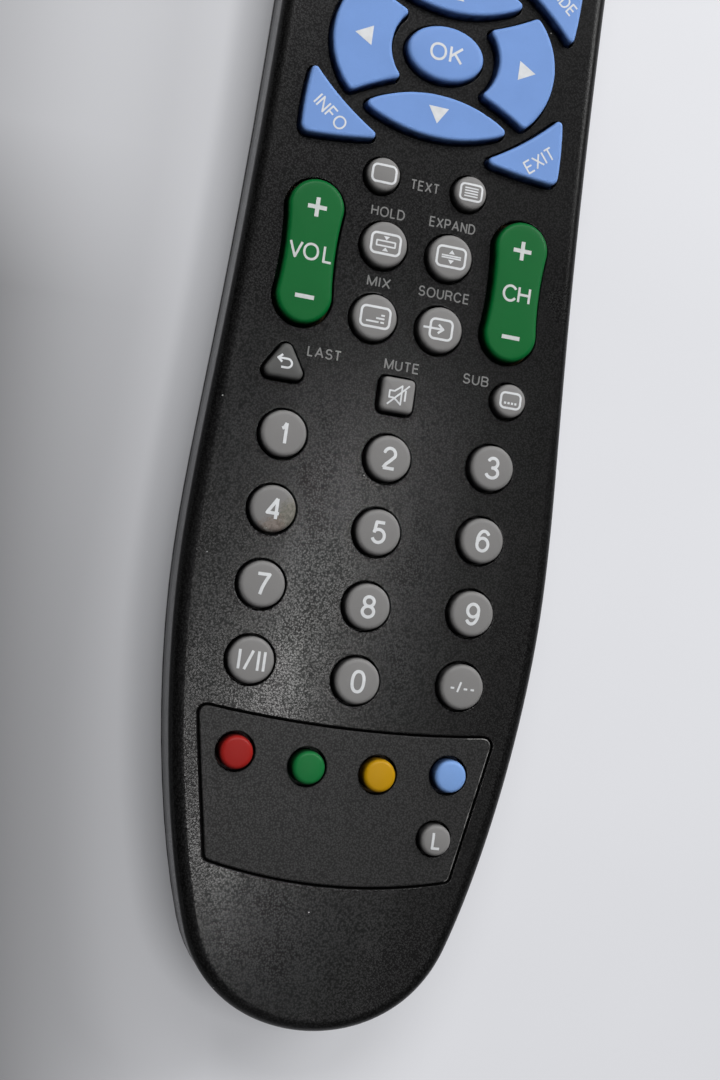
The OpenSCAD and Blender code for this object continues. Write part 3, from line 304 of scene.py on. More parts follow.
class Skin:
    """Points and faces of one piece, with a mark for its edges and for how deep a point lies."""

    def __init__(self):
        self.points, self.faces, self.edge, self.deep = [], [], [], []

    def point(self, x, y, z, edge=0.0, deep=0.0):
        self.points.append((x, y, z))
        self.edge.append(edge)
        self.deep.append(deep)
        return len(self.points) - 1

    def ring(self, loop, z, edge=0.0, deep=0.0):
        return [self.point(p[0], p[1], z, edge, deep) for p in loop]

    def band(self, a, b, skip=()):
        """Faces between two rings, apart from those at the skipped places."""
        n = len(a)
        self.faces += [(a[i], a[(i + 1) % n], b[(i + 1) % n], b[i]) for i in range(n) if i not in skip]

    def stack(self, rings):
        for a, b in zip(rings, rings[1:]):
            self.band(a, b)

    def fan(self, ring, tip):
        n = len(ring)
        self.faces += [(ring[i], ring[(i + 1) % n], tip) for i in range(n)]

    def cap(self, rings):
        """Flat face between an outer ring and the rings of its openings."""
        work = bmesh.new()
        index, edges = {}, []
        for ring in rings:
            verts = [work.verts.new((self.points[i][0], self.points[i][1], 0)) for i in ring]
            index.update(zip(verts, ring))
            edges += [work.edges.new((verts[k - 1], verts[k])) for k in range(len(verts))]
        bmesh.ops.triangle_fill(work, use_beauty=True, use_dissolve=False, edges=edges, normal=(0, 0, 1))
        self.faces += [[index[v] for v in f.verts] for f in work.faces]
        work.free()

    def tube(self, middle, outer, inner, z0, z1, count=40):
        """Round post with a bore."""
        rings = [self.ring(circle(middle, r, count), z) for r, z in
                 ((outer, z0), (outer, z1), (inner, z1), (inner, z0))]
        self.stack(rings + rings[:1])

    def block(self, low, high):
        """Box between two corners."""
        corner = [self.point(x, y, z) for z in (low[2], high[2])
                  for x, y in ((low[0], low[1]), (high[0], low[1]), (high[0], high[1]), (low[0], high[1]))]
        self.faces += [[corner[k] for k in q] for q in
                       ((3, 2, 1, 0), (4, 5, 6, 7), (0, 1, 5, 4), (1, 2, 6, 5), (2, 3, 7, 6), (3, 0, 4, 7))]

    def make(self, name, body, material, weighted=True):
        """The piece itself, which rides on a body."""
        mesh = bpy.data.meshes.new(name)
        mesh.from_pydata([(x * MM, y * MM, z * MM) for x, y, z in self.points], [], self.faces)
        work = bmesh.new()
        work.from_mesh(mesh)
        bmesh.ops.recalc_face_normals(work, faces=work.faces)
        work.to_mesh(mesh)
        work.free()
        for label, values in (("edge", self.edge), ("deep", self.deep)):
            mesh.attributes.new(label, "FLOAT", "POINT").data.foreach_set("value", values)
        mesh.materials.append(material)
        mesh.shade_smooth()
        mesh.set_sharp_from_angle(angle=SHARP_ANGLE)
        piece = bpy.data.objects.new(name, mesh)
        scene.collection.objects.link(piece)
        if weighted:
            normals = piece.modifiers.new("even_normals", "WEIGHTED_NORMAL")
            normals.keep_sharp = True
        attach(piece, body)
        return piece


# Shader helpers

def feed(tree, socket, value):
    """Links a value that is a socket, and sets any other one."""
    if isinstance(value, bpy.types.NodeSocket):
        tree.links.new(value, socket)
    else:
        socket.default_value = value


def put(tree, kind, **values):
    """Adds a node, with values for its inputs and its own settings."""
    node = tree.nodes.new(kind)
    for name, value in values.items():
        if name in node.inputs:
            feed(tree, node.inputs[name], value)
        else:
            setattr(node, name, value)
    return node


def math_of(tree, operation, a, b=0.0, clamp=False):
    """Result of a calculation with one or two values."""
    node = put(tree, "ShaderNodeMath", operation=operation, use_clamp=clamp)
    for socket, value in zip(node.inputs, (a, b)):
        feed(tree, socket, value)
    return node.outputs[0]


def times(tree, a, b, clamp=False):
    """Product of two values."""
    return math_of(tree, "MULTIPLY", a, b, clamp)


def mix_colour(tree, factor, a, b):
    """Colour a, turned into b by the factor."""
    node = tree.nodes.new("ShaderNodeMix")
    node.data_type = "RGBA"
    for index, value in ((0, factor), (6, a), (7, b)):
        feed(tree, node.inputs[index], value)
    return node.outputs[2]


def ramp(tree, value, low, high, to_low=0.0, to_high=1.0):
    """A value mapped from one range to another, and held at its ends."""
    node = put(tree, "ShaderNodeMapRange", Value=value, clamp=True)
    for name, number in (("From Min", low), ("From Max", high), ("To Min", to_low), ("To Max", to_high)):
        feed(tree, node.inputs[name], number)
    return node.outputs[0]


def noise(tree, place, scale, detail, rough=0.5):
    """Cloudy noise at a place, as a value round one half."""
    node = put(tree, "ShaderNodeTexNoise", Vector=place, Scale=scale, Detail=detail, Roughness=rough)
    return node.outputs["Fac"]


def place_of(tree):
    """Place on the part, in its own frame."""
    return put(tree, "ShaderNodeTexCoord").outputs["Object"]


def axes(tree, vector):
    """The three parts of a vector, by X, Y and Z."""
    return put(tree, "ShaderNodeSeparateXYZ", Vector=vector).outputs


def group(name, inputs, outputs):
    """A shader node group, with its inputs and outputs."""
    tree = bpy.data.node_groups.new(name, "ShaderNodeTree")
    for label, kind, value in inputs:
        socket = tree.interface.new_socket(label, in_out="INPUT", socket_type=kind)
        socket.default_value = value
    for label, kind in outputs:
        tree.interface.new_socket(label, in_out="OUTPUT", socket_type=kind)
    return tree, tree.nodes.new("NodeGroupInput").outputs, tree.nodes.new("NodeGroupOutput").inputs


FLOAT, VECTOR = "NodeSocketFloat", "NodeSocketVector"
PER_METRE = 1 / MM


def moulded_grain():
    """Fine pebbled texture of a spark-eroded mould: height and a matching tone."""
    tree, given, out = group("moulded_grain", [("Size", FLOAT, 0.5), ("Roundness", FLOAT, 0.5)],
                             [("Height", FLOAT), ("Tone", FLOAT)])
    place = place_of(tree)
    scale = math_of(tree, "DIVIDE", PER_METRE, given["Size"])
    warp = put(tree, "ShaderNodeTexNoise", Vector=place, Scale=times(tree, scale, 0.35), Detail=2.0)
    shifted = put(tree, "ShaderNodeVectorMath", operation="MULTIPLY_ADD")
    for socket, value in zip(shifted.inputs, (warp.outputs["Color"], (0.1 * MM,) * 3, place)):
        feed(tree, socket, value)
    cells = put(tree, "ShaderNodeTexVoronoi", Vector=shifted.outputs[0], Scale=scale, Randomness=1.0)
    fine = noise(tree, place, times(tree, scale, 1.6), 3.0, 0.6)
    pebble = math_of(tree, "SUBTRACT", 1.0, cells.outputs["Distance"], True)
    height = put(tree, "ShaderNodeMix", Factor=given["Roundness"])
    tree.links.new(fine, height.inputs[2])
    tree.links.new(pebble, height.inputs[3])
    tree.links.new(height.outputs[0], out["Height"])
    tree.links.new(ramp(tree, height.outputs[0], 0.38, 0.82), out["Tone"])
    return tree


def handling_marks():
    """Slow cloudy variation, rubbed streaks and a few light specks, as masks."""
    tree, given, out = group("handling_marks", [("Cloud", FLOAT, 12.0), ("Specks", FLOAT, 0.02)],
                             [("Cloud", FLOAT), ("Rubbed", FLOAT), ("Specks", FLOAT)])
    place = place_of(tree)
    scale = math_of(tree, "DIVIDE", PER_METRE, given["Cloud"])
    tree.links.new(noise(tree, place, scale, 4.0, 0.55), out["Cloud"])
    stretch = put(tree, "ShaderNodeMapping", Vector=place)
    stretch.inputs["Rotation"].default_value = (0, 0, 0.7)
    stretch.inputs["Scale"].default_value = (1.0, 0.18, 1.0)
    streak = noise(tree, stretch.outputs[0], times(tree, scale, 4.0), 5.0, 0.65)
    tree.links.new(ramp(tree, streak, 0.52, 0.75), out["Rubbed"])
    dots = put(tree, "ShaderNodeTexVoronoi", Vector=place, Scale=900.0, Randomness=1.0)
    chance = put(tree, "ShaderNodeSeparateColor", Color=dots.outputs["Color"])
    lit = math_of(tree, "LESS_THAN", chance.outputs[0], given["Specks"])
    small = math_of(tree, "LESS_THAN", dots.outputs["Distance"], 0.11)
    tree.links.new(times(tree, lit, small), out["Specks"])
    return tree


def edge_wear():
    """Broken pale mark along the edges that the meshes mark: wear, and on the inlay's right edge a painted
    highlight.
    """
    tree, given, out = group("edge_wear", [("Size", FLOAT, 1.2), ("Amount", FLOAT, 0.5)], [("Pale Edge", FLOAT)])
    edge = put(tree, "ShaderNodeAttribute", attribute_name="edge").outputs["Fac"]
    scale = math_of(tree, "DIVIDE", PER_METRE, given["Size"])
    broken = noise(tree, place_of(tree), scale, 4.0, 0.7)
    level = math_of(tree, "SUBTRACT", 0.95, given["Amount"])
    mask = ramp(tree, times(tree, edge, broken), times(tree, level, 0.6), level)
    tree.links.new(mask, out["Pale Edge"])
    return tree


def gap_grime():
    """Painted shade that darkens a side towards its hole or gap, with a ragged limit."""
    tree, given, out = group("gap_grime", [("Reach", FLOAT, 0.6)], [("Painted Shade", FLOAT)])
    deep = put(tree, "ShaderNodeAttribute", attribute_name="deep").outputs["Fac"]
    patchy = noise(tree, place_of(tree), 700.0, 3.0)
    ragged = math_of(tree, "ADD", deep, ramp(tree, patchy, 0.3, 0.7, -0.12, 0.12))
    tree.links.new(ramp(tree, ragged, 0.2, given["Reach"]), out["Painted Shade"])
    return tree


def ragged_spot():
    """Mask round one spot: 1 within Core, 0 beyond Reach, its limit torn by up to Tear, in metres."""
    inputs = [("Spot", VECTOR, (0, 0, 0)), ("Reach", FLOAT, 0.003), ("Core", FLOAT, 0.002),
              ("Tear", FLOAT, 0.001), ("Scale", FLOAT, 1000.0), ("Detail", FLOAT, 5.0),
              ("Roughness", FLOAT, 0.7)]
    tree, given, out = group("ragged_spot", inputs, [("Mask", FLOAT)])
    place = place_of(tree)
    away = put(tree, "ShaderNodeVectorMath", operation="DISTANCE")
    tree.links.new(place, away.inputs[0])
    tree.links.new(given["Spot"], away.inputs[1])
    ragged = noise(tree, place, given["Scale"], given["Detail"], given["Roughness"])
    inward = times(tree, given["Tear"], -1.0)
    torn = math_of(tree, "ADD", away.outputs["Value"], ramp(tree, ragged, 0.3, 0.7, inward, given["Tear"]))
    tree.links.new(ramp(tree, torn, given["Reach"], given["Core"]), out["Mask"])
    return tree


GRAIN, MARKS, WEAR_AND_HIGHLIGHT = moulded_grain(), handling_marks(), edge_wear()
GAP_SHADE, SPOT = gap_grime(), ragged_spot()


def use(tree, what, **values):
    """Places a group in a material."""
    node = tree.nodes.new("ShaderNodeGroup")
    node.node_tree = what
    for name, value in values.items():
        node.inputs[name].default_value = value
    return node.outputs


def linear(red, green, blue):
    """A colour written in 0 to 255 as the eye sees it."""
    def one(v):
        v /= 255
        return v / 12.92 if v <= 0.04045 else ((v + 0.055) / 1.055) ** 2.4
    return (one(red), one(green), one(blue), 1)


def scaled(colour, by):
    """A colour made lighter or darker."""
    return tuple(c * by for c in colour[:3]) + (1,)


def new_material(name):
    """A material with its node tree and its shader."""
    material = bpy.data.materials.new(name)
    material.use_nodes = True
    tree = material.node_tree
    return material, tree, tree.nodes["Principled BSDF"]


def bumped(tree, shader, height, depth):
    """Bump of a height that spans depth millimetres."""
    bump = put(tree, "ShaderNodeBump", Height=height, Strength=1.0, Distance=depth * MM)
    tree.links.new(bump.outputs[0], shader.inputs["Normal"])


SEAM_SHADE = ((SEAM + 2.2) * MM, (SEAM + 3.4) * MM)
POLISHED = middle_of("key_dual") + flat(5.5, -4.6)
SIDE_FADE = (4 * MM, 24 * MM)
TAIL_SHINE = (-95 * MM, -72 * MM)


def matt_edges(tree, edge_shine):
    """Share of the shine: all on flat faces and walls, little on round edges and close to the seam."""
    where = put(tree, "ShaderNodeTexCoord").outputs
    upright = math_of(tree, "ABSOLUTE", axes(tree, where["Normal"])["Z"])
    height = axes(tree, where["Object"])["Z"]
    face = ramp(tree, upright, 0.97, 0.998)
    edge = ramp(tree, upright, 0.45, 0.7, 0.15 * edge_shine, edge_shine)
    wall = ramp(tree, upright, 0.25, 0.12, 0.0, 0.95)
    wall = times(tree, wall, ramp(tree, height, *SEAM_SHADE, 0.05, 1.0))
    return math_of(tree, "MAXIMUM", math_of(tree, "MAXIMUM", face, edge), wall)


def thumb_polish(tree, rubbed):
    """Shine left by handling: faint streaks, a bright place beside the last digit row, more at the tail."""
    spot = use(tree, SPOT, Spot=(POLISHED.x * MM, POLISHED.y * MM, FACE * MM), Reach=8.5 * MM,
               Core=3.0 * MM, Tear=4.0 * MM, Scale=260.0, Detail=5.0, Roughness=0.65)["Mask"]
    streaks = ramp(tree, rubbed, 0.0, 1.0, 0.82, 1.4)
    shine = math_of(tree, "ADD", streaks, times(tree, spot, 0.55))
    axis = axes(tree, place_of(tree))
    shine = times(tree, shine, ramp(tree, axis["X"], *SIDE_FADE, 1.0, 0.42))
    return times(tree, shine, ramp(tree, axis["Y"], *TAIL_SHINE, 1.4, 1.0))


def moulded_plastic(name, colour, grain, depth, rough, roundness=0.6, specks=0.006, wear_and_highlight_colour=None,
                    painted_glint=(0.4, 2.6), shine=(0.1, 1.0), edge_shine=None, polish=None):
    """Dark moulded plastic: pebbles that shine on top and are painted lighter there as glints, cloudy tone,
    dust specks, pale edges and painted shade in the gaps.
    """
    material, tree, shader = new_material(name)
    skin = use(tree, GRAIN, Size=grain, Roundness=roundness)
    marks = use(tree, MARKS, Cloud=22.0, Specks=specks)
    # Painted glint: pebble tops are painted lighter than the hollows, standing in for their highlights.
    tone = mix_colour(tree, skin["Tone"], scaled(colour, painted_glint[0]), scaled(colour, painted_glint[1]))
    tone = mix_colour(tree, ramp(tree, marks["Cloud"], 0.3, 0.7, 0.0, 0.3), tone, scaled(colour, 1.35))
    edge = use(tree, WEAR_AND_HIGHLIGHT, Size=1.5, Amount=0.35)
    # Pale edges: wear, and on the inlay's right edge a painted highlight.
    tone = mix_colour(tree, edge["Pale Edge"], tone, wear_and_highlight_colour or scaled(colour, 3.0))
    tone = mix_colour(tree, marks["Specks"], tone, linear(150, 150, 148))
    # Painted shade: the colour goes near black down the sides of holes and gaps, and the coat fades there
    # too.
    gap_shade = use(tree, GAP_SHADE, Reach=0.6)
    tone = mix_colour(tree, gap_shade["Painted Shade"], tone, linear(4, 4, 4))
    tree.links.new(tone, shader.inputs["Base Color"])
    gloss = ramp(tree, marks["Cloud"], 0.3, 0.7, rough + 0.08, rough + 0.16)
    dulled = math_of(tree, "ADD", gloss, times(tree, gap_shade["Painted Shade"], 0.4), True)
    tree.links.new(dulled, shader.inputs["Roughness"])
    shader.inputs["Specular IOR Level"].default_value = 0.1
    unshaded = math_of(tree, "SUBTRACT", 1.0, gap_shade["Painted Shade"], True)
    film = times(tree, ramp(tree, skin["Tone"], 0.0, 1.0, *shine), unshaded)
    if edge_shine:
        film = times(tree, film, matt_edges(tree, edge_shine))
    if polish:
        film = times(tree, film, polish(tree, marks["Rubbed"]), True)
    tree.links.new(film, shader.inputs["Coat Weight"])
    shader.inputs["Coat Roughness"].default_value = rough
    bumped(tree, shader, skin["Height"], depth)
    return material


def key_plastic(name, colour, shade_colour, rough=0.42, grain=0.22, depth=0.006, patch=None):
    """Coloured key: faint grain, cloudy tone, painted shade on the sides towards the hole, and a rubbed edge.
    """
    material, tree, shader = new_material(name)
    skin = use(tree, GRAIN, Size=grain, Roundness=0.35)
    marks = use(tree, MARKS, Cloud=7.0, Specks=0.0)
    cloud = ramp(tree, marks["Cloud"], 0.25, 0.75)
    tone = mix_colour(tree, cloud, scaled(colour, 0.95), scaled(colour, 1.05))
    tone = mix_colour(tree, times(tree, skin["Tone"], 0.3), tone, scaled(colour, 0.9))
    edge = use(tree, WEAR_AND_HIGHLIGHT, Size=0.8, Amount=0.3)
    tone = mix_colour(tree, times(tree, edge["Pale Edge"], 0.5), tone, scaled(colour, 1.3))
    # Painted shade: the key's side darkens towards its hole.
    gap_shade = use(tree, GAP_SHADE, Reach=1.05)
    tone = mix_colour(tree, gap_shade["Painted Shade"], tone, shade_colour)
    if patch:
        tone = patch(tree, tone)
    tree.links.new(tone, shader.inputs["Base Color"])
    tree.links.new(ramp(tree, marks["Rubbed"], 0.0, 1.0, rough, rough - 0.05), shader.inputs["Roughness"])
    shader.inputs["Specular IOR Level"].default_value = 0.16
    bumped(tree, shader, skin["Height"], depth)
    return material


def worn_patch(tree, tone):
    """Mottled rubbed side, brownish lower part and chipped rim of one digit key."""
    middle = middle_of("key_4")
    mottle = noise(tree, place_of(tree), 2400.0, 4.0, 0.7)
    light_spots = ramp(tree, mottle, 0.38, 0.62)
    olive = mix_colour(tree, light_spots, linear(88, 86, 76), linear(126, 123, 112))
    brown = mix_colour(tree, light_spots, linear(94, 82, 74), linear(126, 115, 107))
    pale = linear(158, 155, 148)
    for x, y, reach, share, patch in ((3.0, -0.6, 3.0, 0.75, olive), (0.3, -3.1, 2.5, 0.75, brown),
                                      (-0.5, -3.8, 0.7, 1.0, pale)):
        point = ((middle.x + x) * MM, (middle.y + y) * MM, KEY_TOP * MM)
        spot = use(tree, SPOT, Spot=point, Reach=reach * MM, Core=0.55 * reach * MM, Tear=0.8 * MM,
                   Scale=1300.0, Detail=6.0, Roughness=0.7)["Mask"]
        tone = mix_colour(tree, times(tree, spot, share), tone, patch)
    return tone


def printed_ink(name, colour, fade):
    """Print that is a little uneven and thin in places."""
    material, tree, shader = new_material(name)
    marks = use(tree, MARKS, Cloud=1.2, Specks=0.0)
    tone = mix_colour(tree, ramp(tree, marks["Cloud"], 0.35, 0.75), colour, scaled(colour, fade))
    tree.links.new(tone, shader.inputs["Base Color"])
    tree.links.new(ramp(tree, marks["Cloud"], 0.3, 0.7, 0.45, 0.6), shader.inputs["Roughness"])
    return material


HOUSING = moulded_plastic("housing_grained_black", linear(14, 14, 14), 0.3, 0.012, 0.19, roundness=0.8,
                          painted_glint=(0.5, 3.4), shine=(0.14, 1.0), edge_shine=0.2, polish=thumb_polish)
BACK = moulded_plastic("housing_back_black", linear(21, 21, 21), 0.3, 0.02, 0.42)
INLAY = moulded_plastic("inlay_fine_black", linear(25, 25, 25), 0.3, 0.024, 0.32, specks=0.004,
                        wear_and_highlight_colour=linear(124, 124, 122), painted_glint=(0.6, 2.3), shine=(0.22, 0.68))
# Colour of the painted shade at the foot of the grey keys' sides.
SHADE_BLACK = linear(14, 14, 15)
# Each key finish: its colour, then the colour of the painted shade at the foot of its sides.
BLUE = key_plastic("key_blue", linear(110, 145, 203), linear(16, 27, 62))
DEEP_GREEN = key_plastic("key_deep_green", linear(0, 92, 40), linear(2, 16, 8))
GREY = key_plastic("key_grey", linear(122, 121, 120), SHADE_BLACK)
# Painted shade: the LAST key gets a darker copy of the grey finish.
GREY_SHADED = key_plastic("key_grey_shaded", linear(84, 84, 83), SHADE_BLACK)
GREY_WORN = key_plastic("key_grey_worn", linear(119, 118, 117), SHADE_BLACK, patch=worn_patch)
RED = key_plastic("key_red", linear(144, 28, 24), linear(34, 8, 8))
GREEN = key_plastic("key_green", linear(18, 102, 50), linear(6, 26, 13))
YELLOW = key_plastic("key_yellow", linear(176, 132, 6), linear(44, 30, 5))
LIGHT_BLUE = key_plastic("key_light_blue", linear(116, 152, 206), linear(12, 22, 48))
KEY_INK = printed_ink("key_print", linear(207, 209, 211), 0.86)
ROCKER_INK = printed_ink("rocker_print", linear(192, 196, 194), 0.86)
FACE_INK = printed_ink("face_print", linear(108, 108, 107), 0.84)


# Front shell

def hole_rings(skin, loop, gap, top, bottom):
    """Rounded rim and wall of an opening; returns its highest and its lowest ring."""
    rings = [skin.ring(grow(loop, gap + RIM_R + FLAT_W), top)]
    rings += [skin.ring(grow(loop, gap + RIM_R * (1 - math.sin(a))), top - RIM_R * (1 - math.cos(a)),
                        edge=0.6 * math.sin(2 * a)) for a in RIM_TURNS]
    rings.append(skin.ring(grow(loop, gap), bottom, deep=1.0))
    skin.stack(rings)
    return rings[0], rings[-1]


def front_shell():
    """Upper half of the housing: wall, rounded edge, face with its openings, window gap, tongue and posts."""
    skin = Skin()
    n = len(OUTLINE)
    opening = [i for i in range(n) if abs(OUTLINE[i].x) <= WINDOW_HALF + 0.01 and OUTLINE[i].y > 90]
    window = set(opening[:-1])

    def wall_loop(z):
        return grow(OUTLINE, -SEAM_LEDGE - SIDE_DRAFT * (z - SEAM) / (FACE - EDGE_R - SEAM))

    low_edge = [skin.ring(grow(OUTLINE, -SEAM_LEDGE - 0.1), SEAM),
                skin.ring(grow(OUTLINE, -SEAM_LEDGE - 0.03), SEAM + 0.03),
                skin.ring(wall_loop(SEAM + 0.12), SEAM + 0.12)]
    sill, head = (skin.ring(wall_loop(z), z) for z in WINDOW_Z)
    side = SEAM_LEDGE + SIDE_DRAFT
    fillet = [skin.ring(grow(OUTLINE, -side - EDGE_R * (1 - math.cos(a))),
                        FACE - EDGE_R + EDGE_R * math.sin(a))
              for a in (math.radians(k) for k in range(0, 91, 9))]
    fillet.append(skin.ring(grow(OUTLINE, -side - EDGE_R - FLAT_W), FACE))
    skin.stack(low_edge + [sill])
    skin.band(sill, head, window)
    skin.stack([head] + fillet)
    inner = grow(OUTLINE, -WALL)
    inside = [skin.ring(inner, z) for z in (FACE_UNDER, WINDOW_Z[1], WINDOW_Z[0], TONGUE_LOW)]
    skin.band(inside[0], inside[1])
    skin.band(inside[1], inside[2], window)
    skin.band(inside[2], inside[3])
    tongue = [skin.ring(grow(OUTLINE, TONGUE_OUT), z) for z in (TONGUE_LOW, SEAM)]
    skin.stack([inside[3]] + tongue + [low_edge[0]])
    for i in opening[:-1]:
        skin.faces += [(sill[i], sill[i + 1], inside[2][i + 1], inside[2][i]),
                       (head[i], head[i + 1], inside[1][i + 1], inside[1][i])]
    for i in (opening[0], opening[-1]):
        skin.faces.append((sill[i], head[i], inside[1][i], inside[2][i]))
    upper, lower = [fillet[-1]], [inside[0]]
    for name, loop in KEY_LOOPS.items():
        if name not in INLAY_ROUND:
            gap = ROCKER_GAP if name in ROCKERS else KEY_GAP
            top, bottom = hole_rings(skin, loop, gap, FACE, FACE_UNDER)
            upper.append(top)
            lower.append(bottom)
    lamp_loop = circle(middle_of("indicator_lamp"), LAMP_R, 48)
    top, bottom = hole_rings(skin, lamp_loop, KEY_GAP, FACE, FACE_UNDER)
    upper.append(top)
    lower.append(bottom)
    top, pocket = hole_rings(skin, INLAY_LOOP, INLAY_GAP, FACE, FACE - INLAY_T)
    upper.append(top)
    floor = [pocket]
    for name in INLAY_ROUND:
        rings = [skin.ring(grow(KEY_LOOPS[name], KEY_GAP), z, deep=1.0)
                 for z in (FACE - INLAY_T, FACE_UNDER)]
        skin.stack(rings)
        floor.append(rings[0])
        lower.append(rings[1])
    for rings in (upper, lower, floor):
        skin.cap(rings)
    post_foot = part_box("circuit_board")[0].z / MM - POST_BELOW_BOARD
    for x, y in POSTS:
        skin.tube(flat(x, y), POST_R, POST_BORE_R, post_foot, FACE_UNDER + POST_INTO_FACE)
    piece = skin.make("front_shell", "housing", HOUSING)
    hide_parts("top_shell")


front_shell()


def inlay_plate():
    """Plate round the coloured keys; its right edge is painted pale as a highlight."""
    skin = Skin()
    upper, lower = [], []
    r = INLAY_EDGE_R
    rim = [skin.ring(INLAY_LOOP, FACE - INLAY_T, deep=1.0)]
    rim += [skin.ring(grow(INLAY_LOOP, -r * (1 - math.cos(a))), FACE - r + r * math.sin(a))
            for a in RIM_TURNS]
    rim.append(skin.ring(grow(INLAY_LOOP, -r - FLAT_W), FACE))
    # Painted highlight: the right side of the rounded edge gets the full pale edge mark, the rest a faint
    # one.
    for ring in rim[2:5]:
        for i in ring:
            skin.edge[i] = 1.0 if skin.points[i][0] > INLAY_HIGHLIGHT_FROM_X else 0.3
    skin.stack(rim)
    upper.append(rim[-1])
    lower.append(rim[0])
    for name in INLAY_ROUND:
        top, bottom = hole_rings(skin, KEY_LOOPS[name], KEY_GAP, FACE, FACE - INLAY_T)
        upper.append(top)
        lower.append(bottom)
    skin.cap(upper)
    skin.cap(lower)
    piece = skin.make("inlay_plate", "housing", INLAY)
    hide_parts("inlay_panel")


inlay_plate()


# Keys

def key_piece(name, loop, material, base=KEY_BASE, collar=COLLAR_W):
    """One key: collar, drafted side, rounded edge and top; without a collar it has two ears to tilt on."""
    skin = Skin()
    top = KEY_TOP - PRESS_ROOM
    level = name in FLAT_KEYS
    round_r, crown = (FLAT_KEY_EDGE, 0) if level else (KEY_EDGE, KEY_CROWN)
    edge_z = top - crown - round_r
    middle = sum(loop, flat(0, 0)) / len(loop)
    rings = []
    if collar:
        rings += [skin.ring(grow(loop, collar), base, deep=1.0),
                  skin.ring(grow(loop, collar), COLLAR_TOP, deep=1.0),
                  skin.ring(loop, COLLAR_TOP, deep=1.0)]
    else:
        rings.append(skin.ring(loop, base, deep=1.0))
    rings.append(skin.ring(grow(loop, -KEY_DRAFT * 0.55), FACE, deep=1.0))
    rings.append(skin.ring(grow(loop, -KEY_DRAFT * 0.8), FACE + 0.5 * (edge_z - FACE), deep=0.85))
    for a in (math.radians(k) for k in range(0, 91, 15)):
        inset = KEY_DRAFT + round_r * (1 - math.cos(a))
        rub = math.sin(2 * a) if a > RUBBED_FROM else 0.0
        rings.append(skin.ring(grow(loop, -inset), edge_z + round_r * math.sin(a), edge=rub,
                               deep=0.7 * (1 - math.sin(a))))
    if level:
        rings.append(skin.ring(grow(loop, -KEY_DRAFT - round_r - FLAT_W / 2), top))
        skin.faces += [rings[-1], rings[0]]
    else:
        rim = grow(loop, -KEY_DRAFT - round_r)
        for share in (0.94, 0.8, 0.6, 0.4, 0.2):
            dome = [middle + (p - middle) * share for p in rim]
            rings.append(skin.ring(dome, top - crown * share * share))
        skin.fan(rings[-1], skin.point(middle.x, middle.y, top))
        skin.fan(rings[0], skin.point(middle.x, middle.y, base, deep=1.0))
    skin.stack(rings)
    if not collar:
        for side in (-1, 1):
            x = middle.x + side * EAR_X
            skin.block((x - EAR_HALF[0], middle.y - EAR_HALF[1], EAR_Z[0]),
                       (x + EAR_HALF[0], middle.y + EAR_HALF[1], EAR_Z[1]))
    piece = skin.make(name + "_cap", name, material)
    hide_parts(name)


for key in NAV_OUTLINES:
    key_piece(key, KEY_LOOPS[key], BLUE)
for key in GREY_ROUND + ["key_last", "key_mute", "key_learn"]:
    finish = {"key_4": GREY_WORN, "key_last": GREY_SHADED}.get(key, GREY)
    key_piece(key, KEY_LOOPS[key], finish)
for key in ROCKERS:
    key_piece(key, KEY_LOOPS[key], DEEP_GREEN, ROCKER_BASE, 0)
for key, finish, slot in (("key_red", RED, "key_red"), ("key_green", GREEN, "key_green"),
                          ("key_yellow", YELLOW, "key_yellow"), ("key_cyan", LIGHT_BLUE, "key_light_blue")):
    slack_loop = grow(KEY_LOOPS[key], -COLOUR_KEY_SLACK)
    key_piece(key, slack_loop, finish, collar=COLLAR_W + COLOUR_KEY_SLACK)
key_piece("key_power", KEY_LOOPS["key_power"], RED)


# Print on keys and face

def arc(cx, cy, rx, ry, start, stop, steps=20):
    """Points of an arc between two angles in degrees."""
    turns = [math.radians(start + (stop - start) * i / steps) for i in range(steps + 1)]
    return [(cx + rx * math.cos(a), cy + ry * math.sin(a)) for a in turns]


def oval(cx, cy, rx, ry, power=2.0, steps=40):
    """Closed oval; a power above 2 makes it squarer."""
    out = []
    for i in range(steps + 1):
        a = 2 * math.pi * i / steps
        c, s = math.cos(a), math.sin(a)
        k = 2 / power
        out.append((cx + rx * math.copysign(abs(c) ** k, c), cy + ry * math.copysign(abs(s) ** k, s)))
    return out


SIX = [oval(0.5, 0.32, 0.5, 0.32), arc(0.56, 0.46, 0.56, 0.54, 42, 195)]
